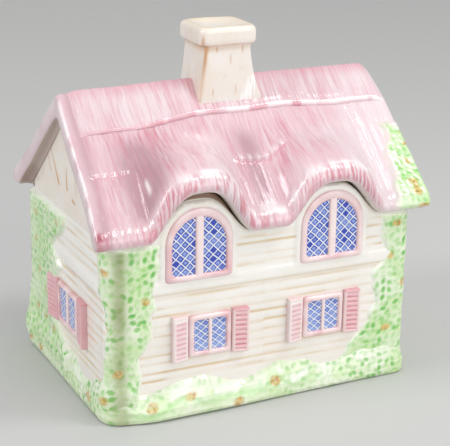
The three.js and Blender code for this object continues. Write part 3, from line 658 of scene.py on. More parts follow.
def thatch_glaze():
    """Pink glaze in long strokes that run down the roof, with darker rose where it pools; its mauve
    and brown paints are painted shade and its near-white paint is painted highlight.
    """
    glaze = Glaze("thatch_glaze", THATCH_PAINT)
    across, along, down = glaze.mark("across"), glaze.mark("along"), glaze.mark("down")
    drift = glaze.noise(45.0, 3.0)
    thin = glaze.band(glaze.streaks(across, down, 0.62, 0.05, 3.0), 0.47, 0.64)
    fine = glaze.band(glaze.streaks(across, down, 1.25, 0.09, 5.0), 0.5, 0.66)
    broad = glaze.band(glaze.streaks(across, down, 0.2, 0.03, 9.0), 0.4, 0.62)
    dabs = glaze.band(glaze.streaks(along, down, 0.5, 0.07, 15.0), 0.44, 0.62)
    rose, fringe = glaze.mark("rose"), glaze.mark("fringe")
    colour = glaze.laid(glaze.ground(drift, 0.35, 0.68), "pale")
    colour = glaze.blend(rose * broad * 0.65, colour, glaze.paint["wash"])
    colour = glaze.blend((rose * (thin * 0.62 + fine * 0.4)).clamped(), colour, glaze.paint["stroke"])
    colour = glaze.blend(glaze.mark("shade") * (1.0 - thin * 0.25), colour, glaze.paint["shade"])
    colour = glaze.blend((fringe * dabs).clamped(), colour, glaze.paint["fringe"])
    colour = glaze.laid(colour, "blush", "wine", "painted_highlight", "cream", "painted_underside_shade")
    grooves = (rose + 0.25) * (thin * 0.7 + fine * 0.3) + fringe * dabs
    return glaze.finish(colour, glaze.noise(420.0, 3.0) * 0.35 - grooves.clamped(), 0.22, drift * 0.06 + 0.11)


def wall_glaze():
    """Cream glaze with ochre lines between the boards, and brown painted shade on the lip inside the raised
    wall tops.
    """
    glaze = Glaze("wall_glaze", WALL_PAINT)
    drift = glaze.noise(30.0, 3.0)
    grain = glaze.noise(700.0, 3.0, (0.12, 0.12, 1.0))
    colour = glaze.ground(drift, 0.35, 0.7)
    colour = glaze.blend(glaze.band(grain, 0.52, 0.75) * 0.25, colour, glaze.paint["grain"])
    colour = glaze.laid(colour, "blush", "line", "gap")
    return glaze.finish(colour, glaze.noise(260.0, 3.0), 0.15, drift * 0.08 + 0.1)


def leaf_glaze():
    """Pale green glaze with leaf dabs in two greens and ochre blossoms, olive painted shade and near-white
    painted highlights.
    """
    glaze = Glaze("leaf_glaze", LEAF_PAINT)
    drift = glaze.noise(60.0, 3.0)
    colour = glaze.laid(glaze.ground(drift, 0.3, 0.7), "fade", "leaf", "deep", "shade")
    heart = glaze.band(glaze.noise(560.0, 2.0), 0.42, 0.6)
    petals = glaze.blend(heart, glaze.paint["petal"], glaze.paint["heart"])
    colour = glaze.blend(glaze.mark("bloom"), colour, petals)
    colour = glaze.laid(colour, "painted_gloss_highlight", "bare")
    return glaze.finish(colour, glaze.noise(380.0, 2.0), 0.2, drift * 0.08 + 0.1)


def trim_glaze():
    glaze = Glaze("trim_glaze", TRIM_PAINT)
    drift = glaze.noise(110.0, 3.0)
    colour = glaze.laid(glaze.ground(drift, 0.3, 0.7), "pale", "rose")
    return glaze.finish(colour, glaze.noise(500.0, 2.0), 0.1, drift * 0.06 + 0.11)


def lattice_glaze():
    """Blue panes between white leads: warp and weft count the leads in their two directions."""
    glaze = Glaze("lattice_glaze", LATTICE_PAINT, coat=0.5)
    warp, weft = glaze.mark("warp"), glaze.mark("weft")
    near_warp = ((warp + 0.5).fraction() - 0.5).size()
    near_weft = ((weft + 0.5).fraction() - 0.5).size()
    edge = near_warp.least(near_weft)
    cell = glaze.add("ShaderNodeCombineXYZ", {}, {0: warp.floor(), 1: weft.floor(), 2: 0.5})
    tone = glaze.add("ShaderNodeTexWhiteNoise", {"noise_dimensions": "3D"}, {"Vector": cell}, "Value")
    drift = glaze.noise(150.0, 2.0)
    middle = glaze.band(edge + drift * 0.1, 0.27, 0.38) * glaze.band(tone, 0.1, 0.4)
    pane = glaze.blend(middle * 0.9, glaze.paint["deep"], glaze.paint["middle"])
    pane = glaze.blend(glaze.band(tone, 0.55, 1.0) * 0.45, pane, glaze.paint["light"])
    pane = glaze.laid(pane, "milk")
    line = 1.0 - glaze.band(edge, 0.055, 0.12)
    colour = glaze.blend(line * 0.98, pane, glaze.paint["lead"])
    return glaze.finish(colour, line * 0.5 - middle * 0.2, 0.35)


def chimney_glaze():
    glaze = Glaze("chimney_glaze", CHIMNEY_PAINT)
    drift = glaze.noise(45.0, 3.0)
    grain = glaze.noise(420.0, 2.0, (1.0, 1.0, 0.15))
    colour = glaze.ground(drift, 0.3, 0.7)
    colour = glaze.blend(glaze.mark("streak") * (glaze.band(grain, 0.35, 0.65) * 0.6 + 0.5), colour,
                         glaze.paint["streak"])
    colour = glaze.laid(colour, "stain", "bowl")
    # Near-white painted highlight where its mark is
    colour = glaze.blend(glaze.mark("painted_gloss_highlight") * glaze.band(grain, 0.42, 0.52), colour, glaze.paint["painted_gloss_highlight"])
    return glaze.finish(colour, grain * 0.6 + drift, 0.3, drift * 0.08 + 0.1)


def gable_glaze():
    """Cream glaze with drips, each a straight stroke between two points of the gable."""
    glaze = Glaze("gable_glaze", GABLE_PAINT)
    drift = glaze.noise(40.0, 3.0)
    grain = glaze.noise(140.0, 2.0, (1.0, 1.0, 0.14))
    colour = glaze.ground(drift, 0.3, 0.7)
    colour = glaze.blend(glaze.band(grain, 0.6, 0.76) * 0.35, colour, glaze.paint["grain"])
    across, up = glaze.axis("Y") / MM, glaze.axis("Z") / MM
    for from_y, from_z, to_y, to_z, thin, thick in GABLE_DRIPS:
        length = math.hypot(to_y - from_y, to_z - from_z)
        turn_y, turn_z = (to_y - from_y) / length, (to_z - from_z) / length
        along = (across - from_y) * turn_y + (up - from_z) * turn_z
        apart = ((up - from_z) * turn_y - (across - from_y) * turn_z).size()
        over = apart - (along * ((thick - thin) / length) + thin)
        inside = glaze.band(along, -0.8, 0.4) * (1.0 - glaze.band(along, length - 0.3, length + 1.1))
        colour = glaze.blend((1.0 - glaze.band(over, -0.4, 0.5)) * inside * 0.9, colour, glaze.paint["drip"])
    return glaze.finish(colour, glaze.noise(300.0, 2.0), 0.2)


def inner_glaze():
    glaze = Glaze("inner_glaze", INNER_PAINT)
    drift = glaze.noise(55.0, 3.0)
    return glaze.finish(glaze.ground(drift, 0.3, 0.7), glaze.noise(300.0, 2.0), 0.2, drift * 0.1 + 0.12)


thatch, walls, greens = thatch_glaze(), wall_glaze(), leaf_glaze()
trim, panes, stack_cream = trim_glaze(), lattice_glaze(), chimney_glaze()
gable_cream, inside_cream = gable_glaze(), inner_glaze()


# Roof

def half_section(x, ledge, thickness=THATCH):
    """Half of the roof's section from the ridge out to the eave and back under, and what each row is."""
    foot = RIM + eave_rise(x)
    lip = np.minimum(thatch_height(x, EAVE_Y) - foot, lip_height(x))
    level = np.ones_like(x)
    slope_t = EAVE_Y * np.linspace(0.0, 1.0, SLOPE_ROWS + 1)[:-1, None] * level
    slope = np.stack([slope_t, thatch_height(x[None, :], slope_t)], axis=2)
    corners = [np.stack([EAVE_Y * level, thatch_height(x, EAVE_Y)], axis=1)]
    for out, up in NOSE_PROFILE:
        corners.append(np.stack([(EAVE_Y + NOSE * out) * level, foot + lip * up], axis=1))
    for t in (EAVE_Y - EAVE_UNDERCUT, ledge):
        corners.append(np.stack([t * level, foot], axis=1))
    nose = between(corners, NOSE_ROWS + (LEDGE_ROWS,))
    under_t = ledge * np.linspace(1.0, 0.0, SOFFIT_ROWS)[:, None] * level
    under = np.stack([under_t, np.maximum(soffit_height(x[None, :], under_t, thickness), foot)], axis=2)
    counts = (SLOPE_ROWS, sum(NOSE_ROWS), LEDGE_ROWS + 1, SOFFIT_ROWS)
    kinds = np.repeat((ON_SLOPE, ON_NOSE, ON_LEDGE, ON_SOFFIT), counts)
    return np.concatenate([slope, nose, under]), kinds


def closed(half):
    """A whole section from its rear half."""
    front = half[::-1][1:-1] * np.array([-1.0, 1.0])
    return np.concatenate([half, front])


def overhang(thickness):
    """The thatch's section beyond the walls."""
    half, _ = half_section(np.full(1, WALL_X + 1), OVERHANG_LEDGE_Y, thickness)
    return rounded(closed(half[:, 0]), 5)


def roof_points():
    """The plain thatch, rows by sections, with what each row is and how far its rake reaches."""
    inside = np.linspace(-WALL_X, WALL_X, 239)
    body, half_kinds = half_section(inside, LEDGE_Y)
    kinds = np.concatenate([half_kinds, half_kinds[::-1][1:-1]])
    ring = rounded(closed(body), 5)
    end = overhang(RAKE_THATCH)
    tangent = np.roll(end, -1, axis=0) - np.roll(end, 1, axis=0)
    tangent /= np.maximum(np.linalg.norm(tangent, axis=1, keepdims=True), 1e-9)
    normal = np.stack([tangent[:, 1], -tangent[:, 0]], axis=1)
    outside = rounded((kinds < ON_LEDGE).astype(float), 6)
    run = RAKE_RUN_UNDER + (RAKE_RUN - RAKE_RUN_UNDER) * outside
    depth = RAKE_UNDER + (RAKE_ROUND - RAKE_UNDER) * outside
    left = rake_reach(end[:, 0], 1.0)
    right = left + right_swell(end[:, 0])
    start = np.minimum(WALL_X, left - run - 0.5)

    def rake(side, tip):
        """Sections from the wall out to the rounded tip of one rake."""
        rings = []
        for share, fillet in RAKE_FILLETS:
            rings.append((start + (tip - run - start) * share, overhang(RAKE_THATCH + fillet)))
        for turn in np.radians(RAKE_TURNS):
            sunk = (depth * (1 - math.cos(turn)))[:, None]
            rings.append((tip - run * (1 - math.sin(turn)), end + normal * sunk))
        return [np.stack([side * reach, section[:, 0], section[:, 1]], axis=1) for reach, section in rings]

    across = inside[None, :] * (start / WALL_X)[:, None]
    middle = np.stack([across, ring[:, :, 0], ring[:, :, 1]], axis=2)
    left_rake, right_rake = rake(-1, left)[::-1], rake(1, right)
    points = np.concatenate([np.stack(left_rake, axis=1), middle, np.stack(right_rake, axis=1)], axis=1)
    reach = np.where(points[:, :, 0] > 0, right[:, None], left[:, None])
    return points, np.broadcast_to(kinds[:, None], reach.shape), reach


class Thatching:
    """How the thatch lies at each point of the roof: where the point is and what is carved there."""

    def __init__(self, points, kinds, rake):
        x, y = points[:, :, 0], points[:, :, 1]
        t = np.abs(y)
        self.x, self.y, self.t, self.kinds, self.rake = x, y, t, kinds, rake
        self.behind = (y > 0) * 40.0
        self.row = self.behind + 0 * x
        self.arc = eave_distance(x)
        self.lip = lip_height(x)
        self.height = points[:, :, 2] - (RIM + eave_rise(x))
        self.end_face = ramp(np.abs(x) - rake, -1.2, 0.9)
        self.left_bead = ramp(x + rake, BEAD_WIDTH, -3.0)
        self.right_bead = ramp(rake - x, BEAD_WIDTH, -3.0)
        self.bead = np.maximum(self.left_bead, self.right_bead)
        self.top = (kinds <= ON_NOSE).astype(float)
        self.rim = ramp(self.height, BARE_RIM, -1.2) * (kinds > ON_SLOPE)
        self.outer = self.top * (1 - self.rim)
        self.wander = 2.4 * (mottle(x / 18, t / 30 + self.behind, 4) - 0.5)
        self.tufts = mottle(x / 9.0, t / 16 + self.behind, 12)
        ragged = 3.4 * mottle(self.arc / 3.6, self.row, 8)
        hanging = ramp(self.height - ragged, self.lip + 1.2, -3.0) * ramp(t, 62, 6)
        self.flutes = hanging * (1 - self.rim) * self.top
        self.crest = hump(self.height, self.lip + 1.6, 2.0) * ramp(t, 60, 6) * self.top
        self.left_course = ramp(x, -97, 3) * ramp(x, -71, -4)
        self.mid_course = ramp(x, -11, 4) * ramp(x, 26, -4)
        self.courses = self.left_course * 0.55 + self.mid_course
        stitch = 0.5 + 0.5 * np.cos(2 * np.pi * x / COURSE_STITCH)
        sag = self.mid_course * (1.2 - 2.4 * ((x - 5) / 17.0) ** 2)
        self.course_edge = COURSE_Y + 0.35 * (2 * stitch - 1) + sag
        loops = (0.3 * self.left_course + self.mid_course) * stitch
        self.knots = loops * hump(t, self.course_edge - 2.2, 1.7) * self.outer

    def relief(self):
        """How far the carving stands out of the plain thatch."""
        x, t = self.x, self.t
        cut = ramp(mottle((x + self.wander) / 2.7, t / 46 + self.behind, 5), 0.5, 0.35)
        uneven = mottle(self.arc / 8.0, self.row, 7)
        flute = 0.5 + 0.5 * np.cos(2 * np.pi * self.arc / FLUTE_PITCH + 5.0 * uneven)
        relief = self.outer * (1 - self.flutes) * (1 - self.bead) * (0.15 - 0.3 * cut)
        relief += self.flutes * (1 - 0.7 * self.right_bead) * (0.15 - (0.2 + 0.5 * uneven) * flute ** 1.3)
        relief += 0.35 * self.crest * (1 - self.bead) * (0.4 + mottle(self.arc / 5.0, self.row, 13))
        above = t - self.course_edge
        step = self.courses * ramp(above, 0.0, -0.9) * ramp(above, -17, 16) * self.outer
        return relief + 0.7 * step + 0.55 * self.knots + 0.3 * self.outer * self.bead

    def marks(self):
        """Where each paint of the thatch goes."""
        x, y, t, arc, behind, row = self.x, self.y, self.t, self.arc, self.behind, self.row
        slant = eave_slant(x)
        front = y < 0
        right_end, left_side = ramp(x, 58, 16), ramp(x, 10, -20)
        # The left flanks of the rises are painted rosier and darker as painted shade, and the right flanks
        # paler as painted light
        shaded_left_flank = smooth(slant / 0.9) * ramp(t, 22, 10) * ramp(t, 66, -14)
        lit_right_flank = smooth(-slant / 0.9) * ramp(t, 20, 14)
        # Painted shade in the valleys between the rises
        valley_shade = sum(depth * hump(x, place, width) * ramp(t, start, run)
                     for place, width, depth, start, run in VALLEYS) * ramp(t, 71, -8)
        rose = 0.22 + 0.6 * self.tufts + 0.2 * hump(t, 26, 6)
        rose = rose * (1 - 0.75 * self.flutes) * (1 - 0.85 * right_end) * (1 - 0.55 * lit_right_flank)
        rose = rose * (1 - 0.25 * ramp(x, -30, 30)) + 0.75 * shaded_left_flank * (0.45 + 0.55 * left_side)
        fringe = self.flutes * (1 - 0.8 * right_end) * (0.6 + 0.7 * mottle(arc / 6, row, 9))
        fringe = fringe * ramp(self.height, 1.6, 2.0) * (1 - 0.65 * hump(x, 7, 13))
        fringe = fringe * (1 - 0.6 * ramp(x, -72, -8))
        wine = spot(x, t, *WINE_SPOT) * front
        # Blush: a rose line just below the raised course's edge as its painted shadow, some painted shade on
        # the left flanks, and the wine spots
        blush = 0.55 * self.courses * hump(t, self.course_edge + 0.8, 0.7) * self.outer
        blush += 0.22 * shaded_left_flank * left_side * self.tufts + wine
        blush += 0.5 * spot(x, t, *WINE_SPOT_FAINT) * front
        patchy = mottle(x / 3.4, t / 20 + behind, 10)
        # The shade paint is painted shade: mauve in the valleys, on the left flanks, in a band inside each
        # rake and on the end faces; it also darkens the wine spots
        shade = valley_shade * (0.65 + 0.4 * patchy) * (1 - right_end) + 0.3 * shaded_left_flank * left_side
        shade += hump(x + self.rake, 6.5, 3.4) * (0.55 + 0.2 * ramp(t, 60, 8)) * self.top
        shade += 0.8 * wine + 0.3 * self.end_face
        lower = ramp(t, HUMP_TOP, EAVE_Y - HUMP_TOP)
        # The pale paint is partly painted light, on the right flanks and the crest of the lip, and elsewhere
        # the paler glaze of the right end and of random patches
        pale = 0.7 * right_end + 0.45 * lit_right_flank + 0.3 * hump(x, -24, 13) * lower + 0.8 * self.right_bead
        pale += 0.45 * ramp(mottle(x / 5.0, t / 22 + behind, 11), 0.5, 0.35) + 0.5 * self.crest
        speckle = ramp(mottle(t / 6.0, row, 14), 0.3, 0.3)
        # Painted highlights: a broken line along the left rake's edge, the knots of the course, white patches
        # and the broken crest of the lip
        painted_highlight = 0.85 * hump(x + self.rake, 0.9, 0.8) * speckle * self.top * (1 - wine) * ramp(t, 71, -3)
        painted_highlight += 0.4 * self.knots
        # White patches of painted highlight
        for place, reach, half_x, half_t, strength in PAINTED_HIGHLIGHT_PATCHES:
            painted_highlight += strength * spot(x, t, place, reach, half_x, half_t, 4) * front * self.top
        broken = ramp(mottle(arc / 4.0, row, 15), 0.5, 0.2)
        painted_highlight += 0.7 * self.crest * ramp(x, -68, 8) * broken * (1 - self.bead)
        # Brown-grey painted shade under the thatch: deeper in under the roof and on the overhangs past the
        # walls
        under = (self.kinds >= ON_LEDGE) * (1 - self.end_face)
        soffit = 0.35 * (self.kinds == ON_SOFFIT) * ramp(t, 40, 14)
        past_wall = ramp(np.abs(x), WALL_X - 0.6, 0.8)
        on_nose = np.maximum(self.lip - self.height, 0) * (self.kinds > ON_SLOPE)
        return {
            "across": x + self.wander,
            "along": arc,
            "down": np.sign(y) * (t + on_nose),
            "rose": np.clip(rose * self.outer * (1 - 0.6 * self.bead) * (1 - self.end_face), 0, 1),
            "fringe": np.clip(fringe * self.outer, 0, 0.9),
            "blush": np.clip(blush * self.outer * (1 - self.end_face), 0, 1),
            "shade": np.clip(shade * np.maximum(self.outer, self.end_face), 0, 0.85),
            "pale": np.clip(pale * self.outer * (1 - 0.7 * self.left_bead) + 0.8 * self.end_face, 0, 1),
            "wine": np.clip(0.85 * wine, 0, 1),
            "painted_highlight": np.clip(painted_highlight, 0, 0.9),
            "cream": np.clip(under + self.rim * 0.7, 0, 1),
            "painted_underside_shade": np.clip(under * (soffit + 0.75 * past_wall), 0, 1),
        }


def carved(points, relief, rows, facing, fade):
    """Moves each point out by its relief, which fades away at both ends of the piece."""
    normals = outward(points, joined_rows=True)
    lean = np.sign(np.sum(normals[rows] * np.array(facing), axis=2).mean())
    share = np.ones(points.shape[1])
    share[:len(fade)] = fade
    share[-len(fade):] = fade[::-1]
    return points + normals * lean * (relief * share)[:, :, None]


def thatch_skin(name, points, marks, clearance):
    """A closed thatch piece with an opening for the chimney."""
    opening = (STACK_X, STACK_HALF_X - clearance, STACK_HALF_Y - clearance)
    points = np.concatenate([points, points[:1]])
    return skin(name, points, wrapped(marks), capped=True, openings=(opening,))


def roof():
    points, kinds, rake = roof_points()
    thatching = Thatching(points, kinds, rake)
    fade = (0.0, 0.0, 0.2, 0.4, 0.7, 0.9)
    points = carved(points, thatching.relief(), slice(30, 60), (0.0, 1.0, 1.0), fade)
    piece = thatch_skin("thatched_roof", points, thatching.marks(), STACK_WALL)
    return finished(piece, "roof_shell", "lid", thatch)


def cap_reach(x):
    """How far down the slope the ridge cap reaches, from the ridge line."""
    return np.interp(x, *np.array(CAP_REACHES).T) + 0.5 * np.sin(x / 9.0 + 1.0)


def cap_points():
    """The plain ridge cap, rows by sections, and what each row is: under, on top or on the bead."""
    thick = CAP_THICKNESS * math.sqrt(2)
    gap = CAP_GAP * math.sqrt(2)
    shares = np.linspace(-1, 1, CAP_ROWS)
    roll = np.radians(np.linspace(75, -75, CAP_BEAD_ROWS))[:, None]
    left_tip = CAP_LEFT - 1.4 * np.sin(np.radians([90, 60, 30]))
    right_tip = CAP_RIGHT + 2.6 * np.sin(np.radians([20, 40, 60, 80]))
    x = np.concatenate([left_tip, np.linspace(CAP_LEFT, CAP_RIGHT, 239), right_tip])
    body = ramp(x, -96.5, 11.0) * np.sqrt(np.clip(1 - ramp_straight(x, 91.5, 5.8) ** 2, 0, 1))
    body = body * (0.62 + 0.38 * ramp(x, -70, 45))
    reach = cap_reach(x) - CAP_BEAD
    y = shares[:, None] * reach[None, :]
    slope = thatch_height(np.array(WALL_X), np.abs(y))
    low = slope - 0.5
    high = slope + gap * body + (thick * body)[None, :] - 0.25 * (1 - body)
    bead_y = reach[None, :] + CAP_BEAD * 1.2 * np.cos(roll)
    middle = thatch_height(np.array(WALL_X), reach) + (gap + thick * 0.5) * body - 0.35
    radius = (thick * 0.5 + 0.25) * body + 0.05
    bead_z = middle[None, :] + radius[None, :] * np.sin(roll) * 1.1 - CAP_BEAD * np.cos(roll) * 0.9
    section_y = np.concatenate([y, bead_y, y[::-1], -bead_y[::-1]])
    section_z = np.concatenate([high, bead_z, low[::-1], bead_z[::-1]])
    widen = rake_reach(section_y, 1.0) - rake_reach(0.0, 1.0) + right_swell(section_y) * (x > 0)
    widen = widen * ramp(np.abs(x), 80, 18) * np.sign(x)
    points = rounded(np.stack([x[None, :] + widen, section_y, section_z], axis=2), 2)
    kinds = np.repeat((CAP_TOP, CAP_EDGE, CAP_UNDER, CAP_EDGE), (CAP_ROWS, CAP_BEAD_ROWS) * 2)
    return points, np.broadcast_to(kinds[:, None], points.shape[:2])


def ridge_cap():
    points, kinds = cap_points()
    x, y = points[:, :, 0], points[:, :, 1]
    t = np.abs(y)
    reach = cap_reach(x)
    behind = (y > 0) * 31.0
    wander = 2.4 * (mottle(x / 16, t / 14 + behind, 21) - 0.5)
    cut = ramp(mottle((x + wander) / 2.6, t / 26 + behind, 22), 0.5, 0.35)
    top = (kinds == CAP_TOP).astype(float)
    end_bead = ramp(x, -91.5, -3.0)
    relief = top * ramp(t - reach, -1.8, -2.5) * (1 - end_bead) * (0.12 - 0.26 * cut)
    points = carved(points, relief, slice(10, 30), (0.0, 0.0, 1.0), (0.0, 0.0, 0.2, 0.5, 0.8))
    rose = top * (0.25 + 0.5 * mottle(x / 9.0, t / 9.0 + behind, 26)) * (1 - 0.4 * ramp(x, 60, 25))
    blush = top * 0.36 * hump(t, 0, 3.2) * (0.35 + mottle(x / 7, behind, 27))
    # A rose painted shadow line along the cap's lower edge, under its bead
    blush += 0.55 * ramp(t - reach, -1.4, 1.0) * ramp(x, -96, 8) * (0.35 + mottle(x / 6, behind, 24))
    pale = top * ramp(t, 3, 5) * (0.35 + 0.65 * mottle(x / 8, t / 10 + behind, 25)) * (1 - end_bead)
    # A broken painted highlight along the cap's lower bead
    broken = ramp(mottle(x / 7.0, behind, 28), 0.25, 0.25)
    painted_highlight = 0.9 * hump(t, reach - 0.5, 0.7) * broken * ramp(x, -62, 20) * (kinds != CAP_UNDER)
    none = 0 * x
    marks = {
        "across": x + wander, "along": x, "down": y, "rose": np.clip(rose, 0, 1), "fringe": none,
        "blush": np.clip(blush, 0, 0.8), "shade": 0.5 * end_bead * top, "pale": np.clip(pale, 0, 1),
        "painted_highlight": painted_highlight, "wine": none, "cream": none, "painted_underside_shade": none,
    }
    piece = thatch_skin("ridge_thatch", points, marks, 0.6)
    return finished(piece, "ridge_cap", "lid", thatch)


# Outline of the walls

STRAIGHT_X = 2 * (WALL_X - CORNER)
STRAIGHT_Y = 2 * (WALL_Y - CORNER)
CORNER_ARC = CORNER * math.pi / 2
PERIMETER = 2 * (STRAIGHT_X + STRAIGHT_Y) + 4 * CORNER_ARC
TO_CORNER = (STRAIGHT_X + CORNER_ARC) / 2
CORNERS = {"front_right": TO_CORNER, "back_right": PERIMETER / 2 - TO_CORNER,
           "back_left": PERIMETER / 2 + TO_CORNER, "front_left": PERIMETER - TO_CORNER}


def outline_point(distance, half_x=WALL_X, half_y=WALL_Y, radius=CORNER):
    """Places and outward directions along the outline of the walls, from the middle of the front."""
    left = np.mod(distance, PERIMETER)
    place = np.zeros(left.shape + (2,))
    face = np.zeros(left.shape + (2,))
    done = np.zeros(left.shape, bool)
    corners = ((1, -1, -0.5, STRAIGHT_X / 2), (1, 1, 0.0, STRAIGHT_Y), (-1, 1, 0.5, STRAIGHT_X),
               (-1, -1, 1.0, STRAIGHT_Y), (1, -1, -0.5, STRAIGHT_X))
    for cx, cy, quarter, run in corners:
        here = ~done & (left <= run + CORNER_ARC + 1e-9)
        angle = quarter * math.pi + np.maximum(left - run, 0) / CORNER
        back = np.maximum(run - left, 0)
        ux, uy = np.cos(angle), np.sin(angle)
        spare_x, spare_y = half_x - radius, half_y - radius
        scale_x = spare_x / (STRAIGHT_X / 2)
        scale_y = spare_y / (STRAIGHT_Y / 2)
        px = cx * spare_x + radius * ux + back * uy * scale_x
        py = cy * spare_y + radius * uy - back * ux * scale_y
        place[here] = np.stack([px, py], axis=-1)[here]
        face[here] = np.stack([ux, uy], axis=-1)[here]
        done |= here
        left = np.where(done, left, left - run - CORNER_ARC)
    return place, face


def on_wall(distance, z, offset):
    """Points at a distance along the walls, at a height, and out of the wall by an offset."""
    place, face = outline_point(distance)
    return np.stack([place[..., 0] + face[..., 0] * offset, place[..., 1] + face[..., 1] * offset,
                     np.broadcast_to(z, place.shape[:-1])], axis=-1)


def arch_distance(x, z):
    """Distance outside the outline of a dormer window, negative inside it."""
    side = np.maximum(np.abs(x) - DORMER_HALF, DORMER_SILL - z)
    arc = np.hypot(x, z - DORMER_SPRING) - DORMER_HALF
    return np.where(z > DORMER_SPRING, arc, side)


def board_lines(s, z):
    """How strong the painted line between two boards is, from 0 to 1."""
    line = np.zeros(z.shape)
    for n, level in enumerate(BOARD_LINES):
        wave = level + 0.9 * (mottle(s / 37.0, n + 0 * s, 41) - 0.5)
        strength = 0.25 + 0.75 * smooth(1.6 * mottle(s / 16.0, n + 0 * s, 42) - 0.25)
        line = np.maximum(line, strength * hump(z, wave, 0.6))
    return line


def outer_wall(distance, place, top, long_wall):
    """The outside of the walls: its points, its painted lines and its blush."""
    levels = np.concatenate([np.linspace(1.5, RIM, 90), np.linspace(RIM + 1.2, RIM + DORMER_WALL_RISE, 16)])
    z = np.minimum(levels[:, None], top[None, :])
    s = np.broadcast_to(distance, z.shape)
    x = np.broadcast_to(place[:, 0] * np.where(place[:, 1] > 0, -1.0, 1.0), z.shape)
    line = board_lines(s, z)
    bare = 1 - ramp(np.abs(s - CORNERS["front_left"]), 17, -5)
    course = ramp(z, WALL_COURSE_LOW, 1.2) * ramp(z, WALL_COURSE_HIGH, -3.0) * bare
    below_course = hump(z, WALL_COURSE_LOW + 0.2, 0.7) * bare
    boards = 0.12 * mottle(s / 22.0, z / 3.0, 43) - 0.42 * line + 0.7 * course
    quoin = hump(s, CORNERS["front_left"] - 1.5, 5.0) * ramp(z, 30, 10)
    boards = boards + quoin * (0.2 + 0.5 * mottle(z / 9.0, 0 * z, 45))
    surround = np.zeros(z.shape)
    for centre in (-DORMER_X, DORMER_X):
        apart = arch_distance(x - centre, z)
        raised = ramp(apart, 3.4, -1.6) * ramp(z, DORMER_SILL - 1.5, 1.5) * long_wall
        surround = np.maximum(surround, raised)
        boards = boards * (1 - raised) + (1.0 - 1.6 * ramp(apart, -0.8, -1.2)) * raised
    near_top = smooth((top[None, :] - z) / 1.2)
    sunk = 0.8 * (1 - near_top) * (z > RIM - 4) * (top > RIM + 0.1)
    painted = np.clip((line * (1 - course) + 0.55 * below_course) * (1 - surround), 0, 1)
    blush = 0.25 * mottle(s / 30.0, z / 14.0, 44) * ramp(z, 60, -40)
    return on_wall(s, z, boards * near_top - sunk), painted, blush


def jar():
    """The walls inside and out, the floor and the foot, as rings from under the middle to the inner floor."""
    distance = PERIMETER * np.arange(JAR_COLUMNS) / JAR_COLUMNS
    place, _ = outline_point(distance)
    x = place[:, 0]
    long_wall = ramp(np.abs(place[:, 1]), WALL_Y - 1.0, 0.8)
    rise = DORMER_WALL_RISE * (rise_share(x + DORMER_X) + rise_share(x - DORMER_X))
    top = RIM + rise * (long_wall > 0.5)
    inner_top = np.where(long_wall > 0.5, np.maximum(top, RIM + eave_rise(x) - 0.9), top)
    outside, painted, blush = outer_wall(distance, place, top, long_wall)

    def ring(inset, level, radius=INNER_CORNER):
        here, _ = outline_point(distance, WALL_X - inset, WALL_Y - inset, radius)
        return np.stack([here[:, 0], here[:, 1], np.broadcast_to(level, x.shape)], axis=1)

    def middle(level):
        return np.broadcast_to(np.array([0.0, 0.0, level]), (JAR_COLUMNS, 3))

    under = [middle(FOOT_RECESS), ring(FOOT_RIM + 1, FOOT_RECESS), ring(FOOT_RIM + 0.3, 0.4),
             ring(FOOT_RIM - 0.5, 0), ring(FOOT_EDGE, 0, CORNER - FOOT_EDGE), ring(0.4, 0.5, CORNER)]
    inside = [ring(inset, top, CORNER - inset) for inset in (1.2, 2.0)]
    for inset, share in LIP_INSIDE:
        inside.append(ring(inset, top + (inner_top - top) * share, CORNER - inset))
    for drop in (0.5, 1.0):
        inside.append(ring(WALL_THICKNESS, inner_top - drop))
    for level in np.linspace(RIM - 4, FLOOR_TOP + FLOOR_COVE, 24):
        inside.append(ring(WALL_THICKNESS, np.minimum(level, inner_top)))
    for turn in np.radians([22, 45, 68, 90]):
        inside.append(ring(WALL_THICKNESS + FLOOR_COVE * (1 - math.cos(turn)),
                           FLOOR_TOP + FLOOR_COVE * (1 - math.sin(turn))))
    inside += [ring(30.0, FLOOR_TOP), middle(FLOOR_TOP)]
    points = np.concatenate([np.array(under), outside, np.array(inside)])
    none_under = np.zeros((len(under), JAR_COLUMNS))
    none_inside = np.zeros((len(inside), JAR_COLUMNS))
    # Brown painted shade on the inner lip of the raised wall tops, seen in the slit under the eaves
    gap = none_inside.copy()
    gap[2:10] = smooth((inner_top - top) / 1.5)[None, :]
    marks = {
        "line": np.concatenate([none_under, painted, none_inside]),
        "blush": np.concatenate([none_under, blush, none_inside]),
        "gap": np.concatenate([none_under, 0 * painted, gap]),
    }
    piece = skin("jar_walls", points, marks, joined=True)
    return finished(piece, "jar_shell", "jar", walls)


# Hedge and ivy

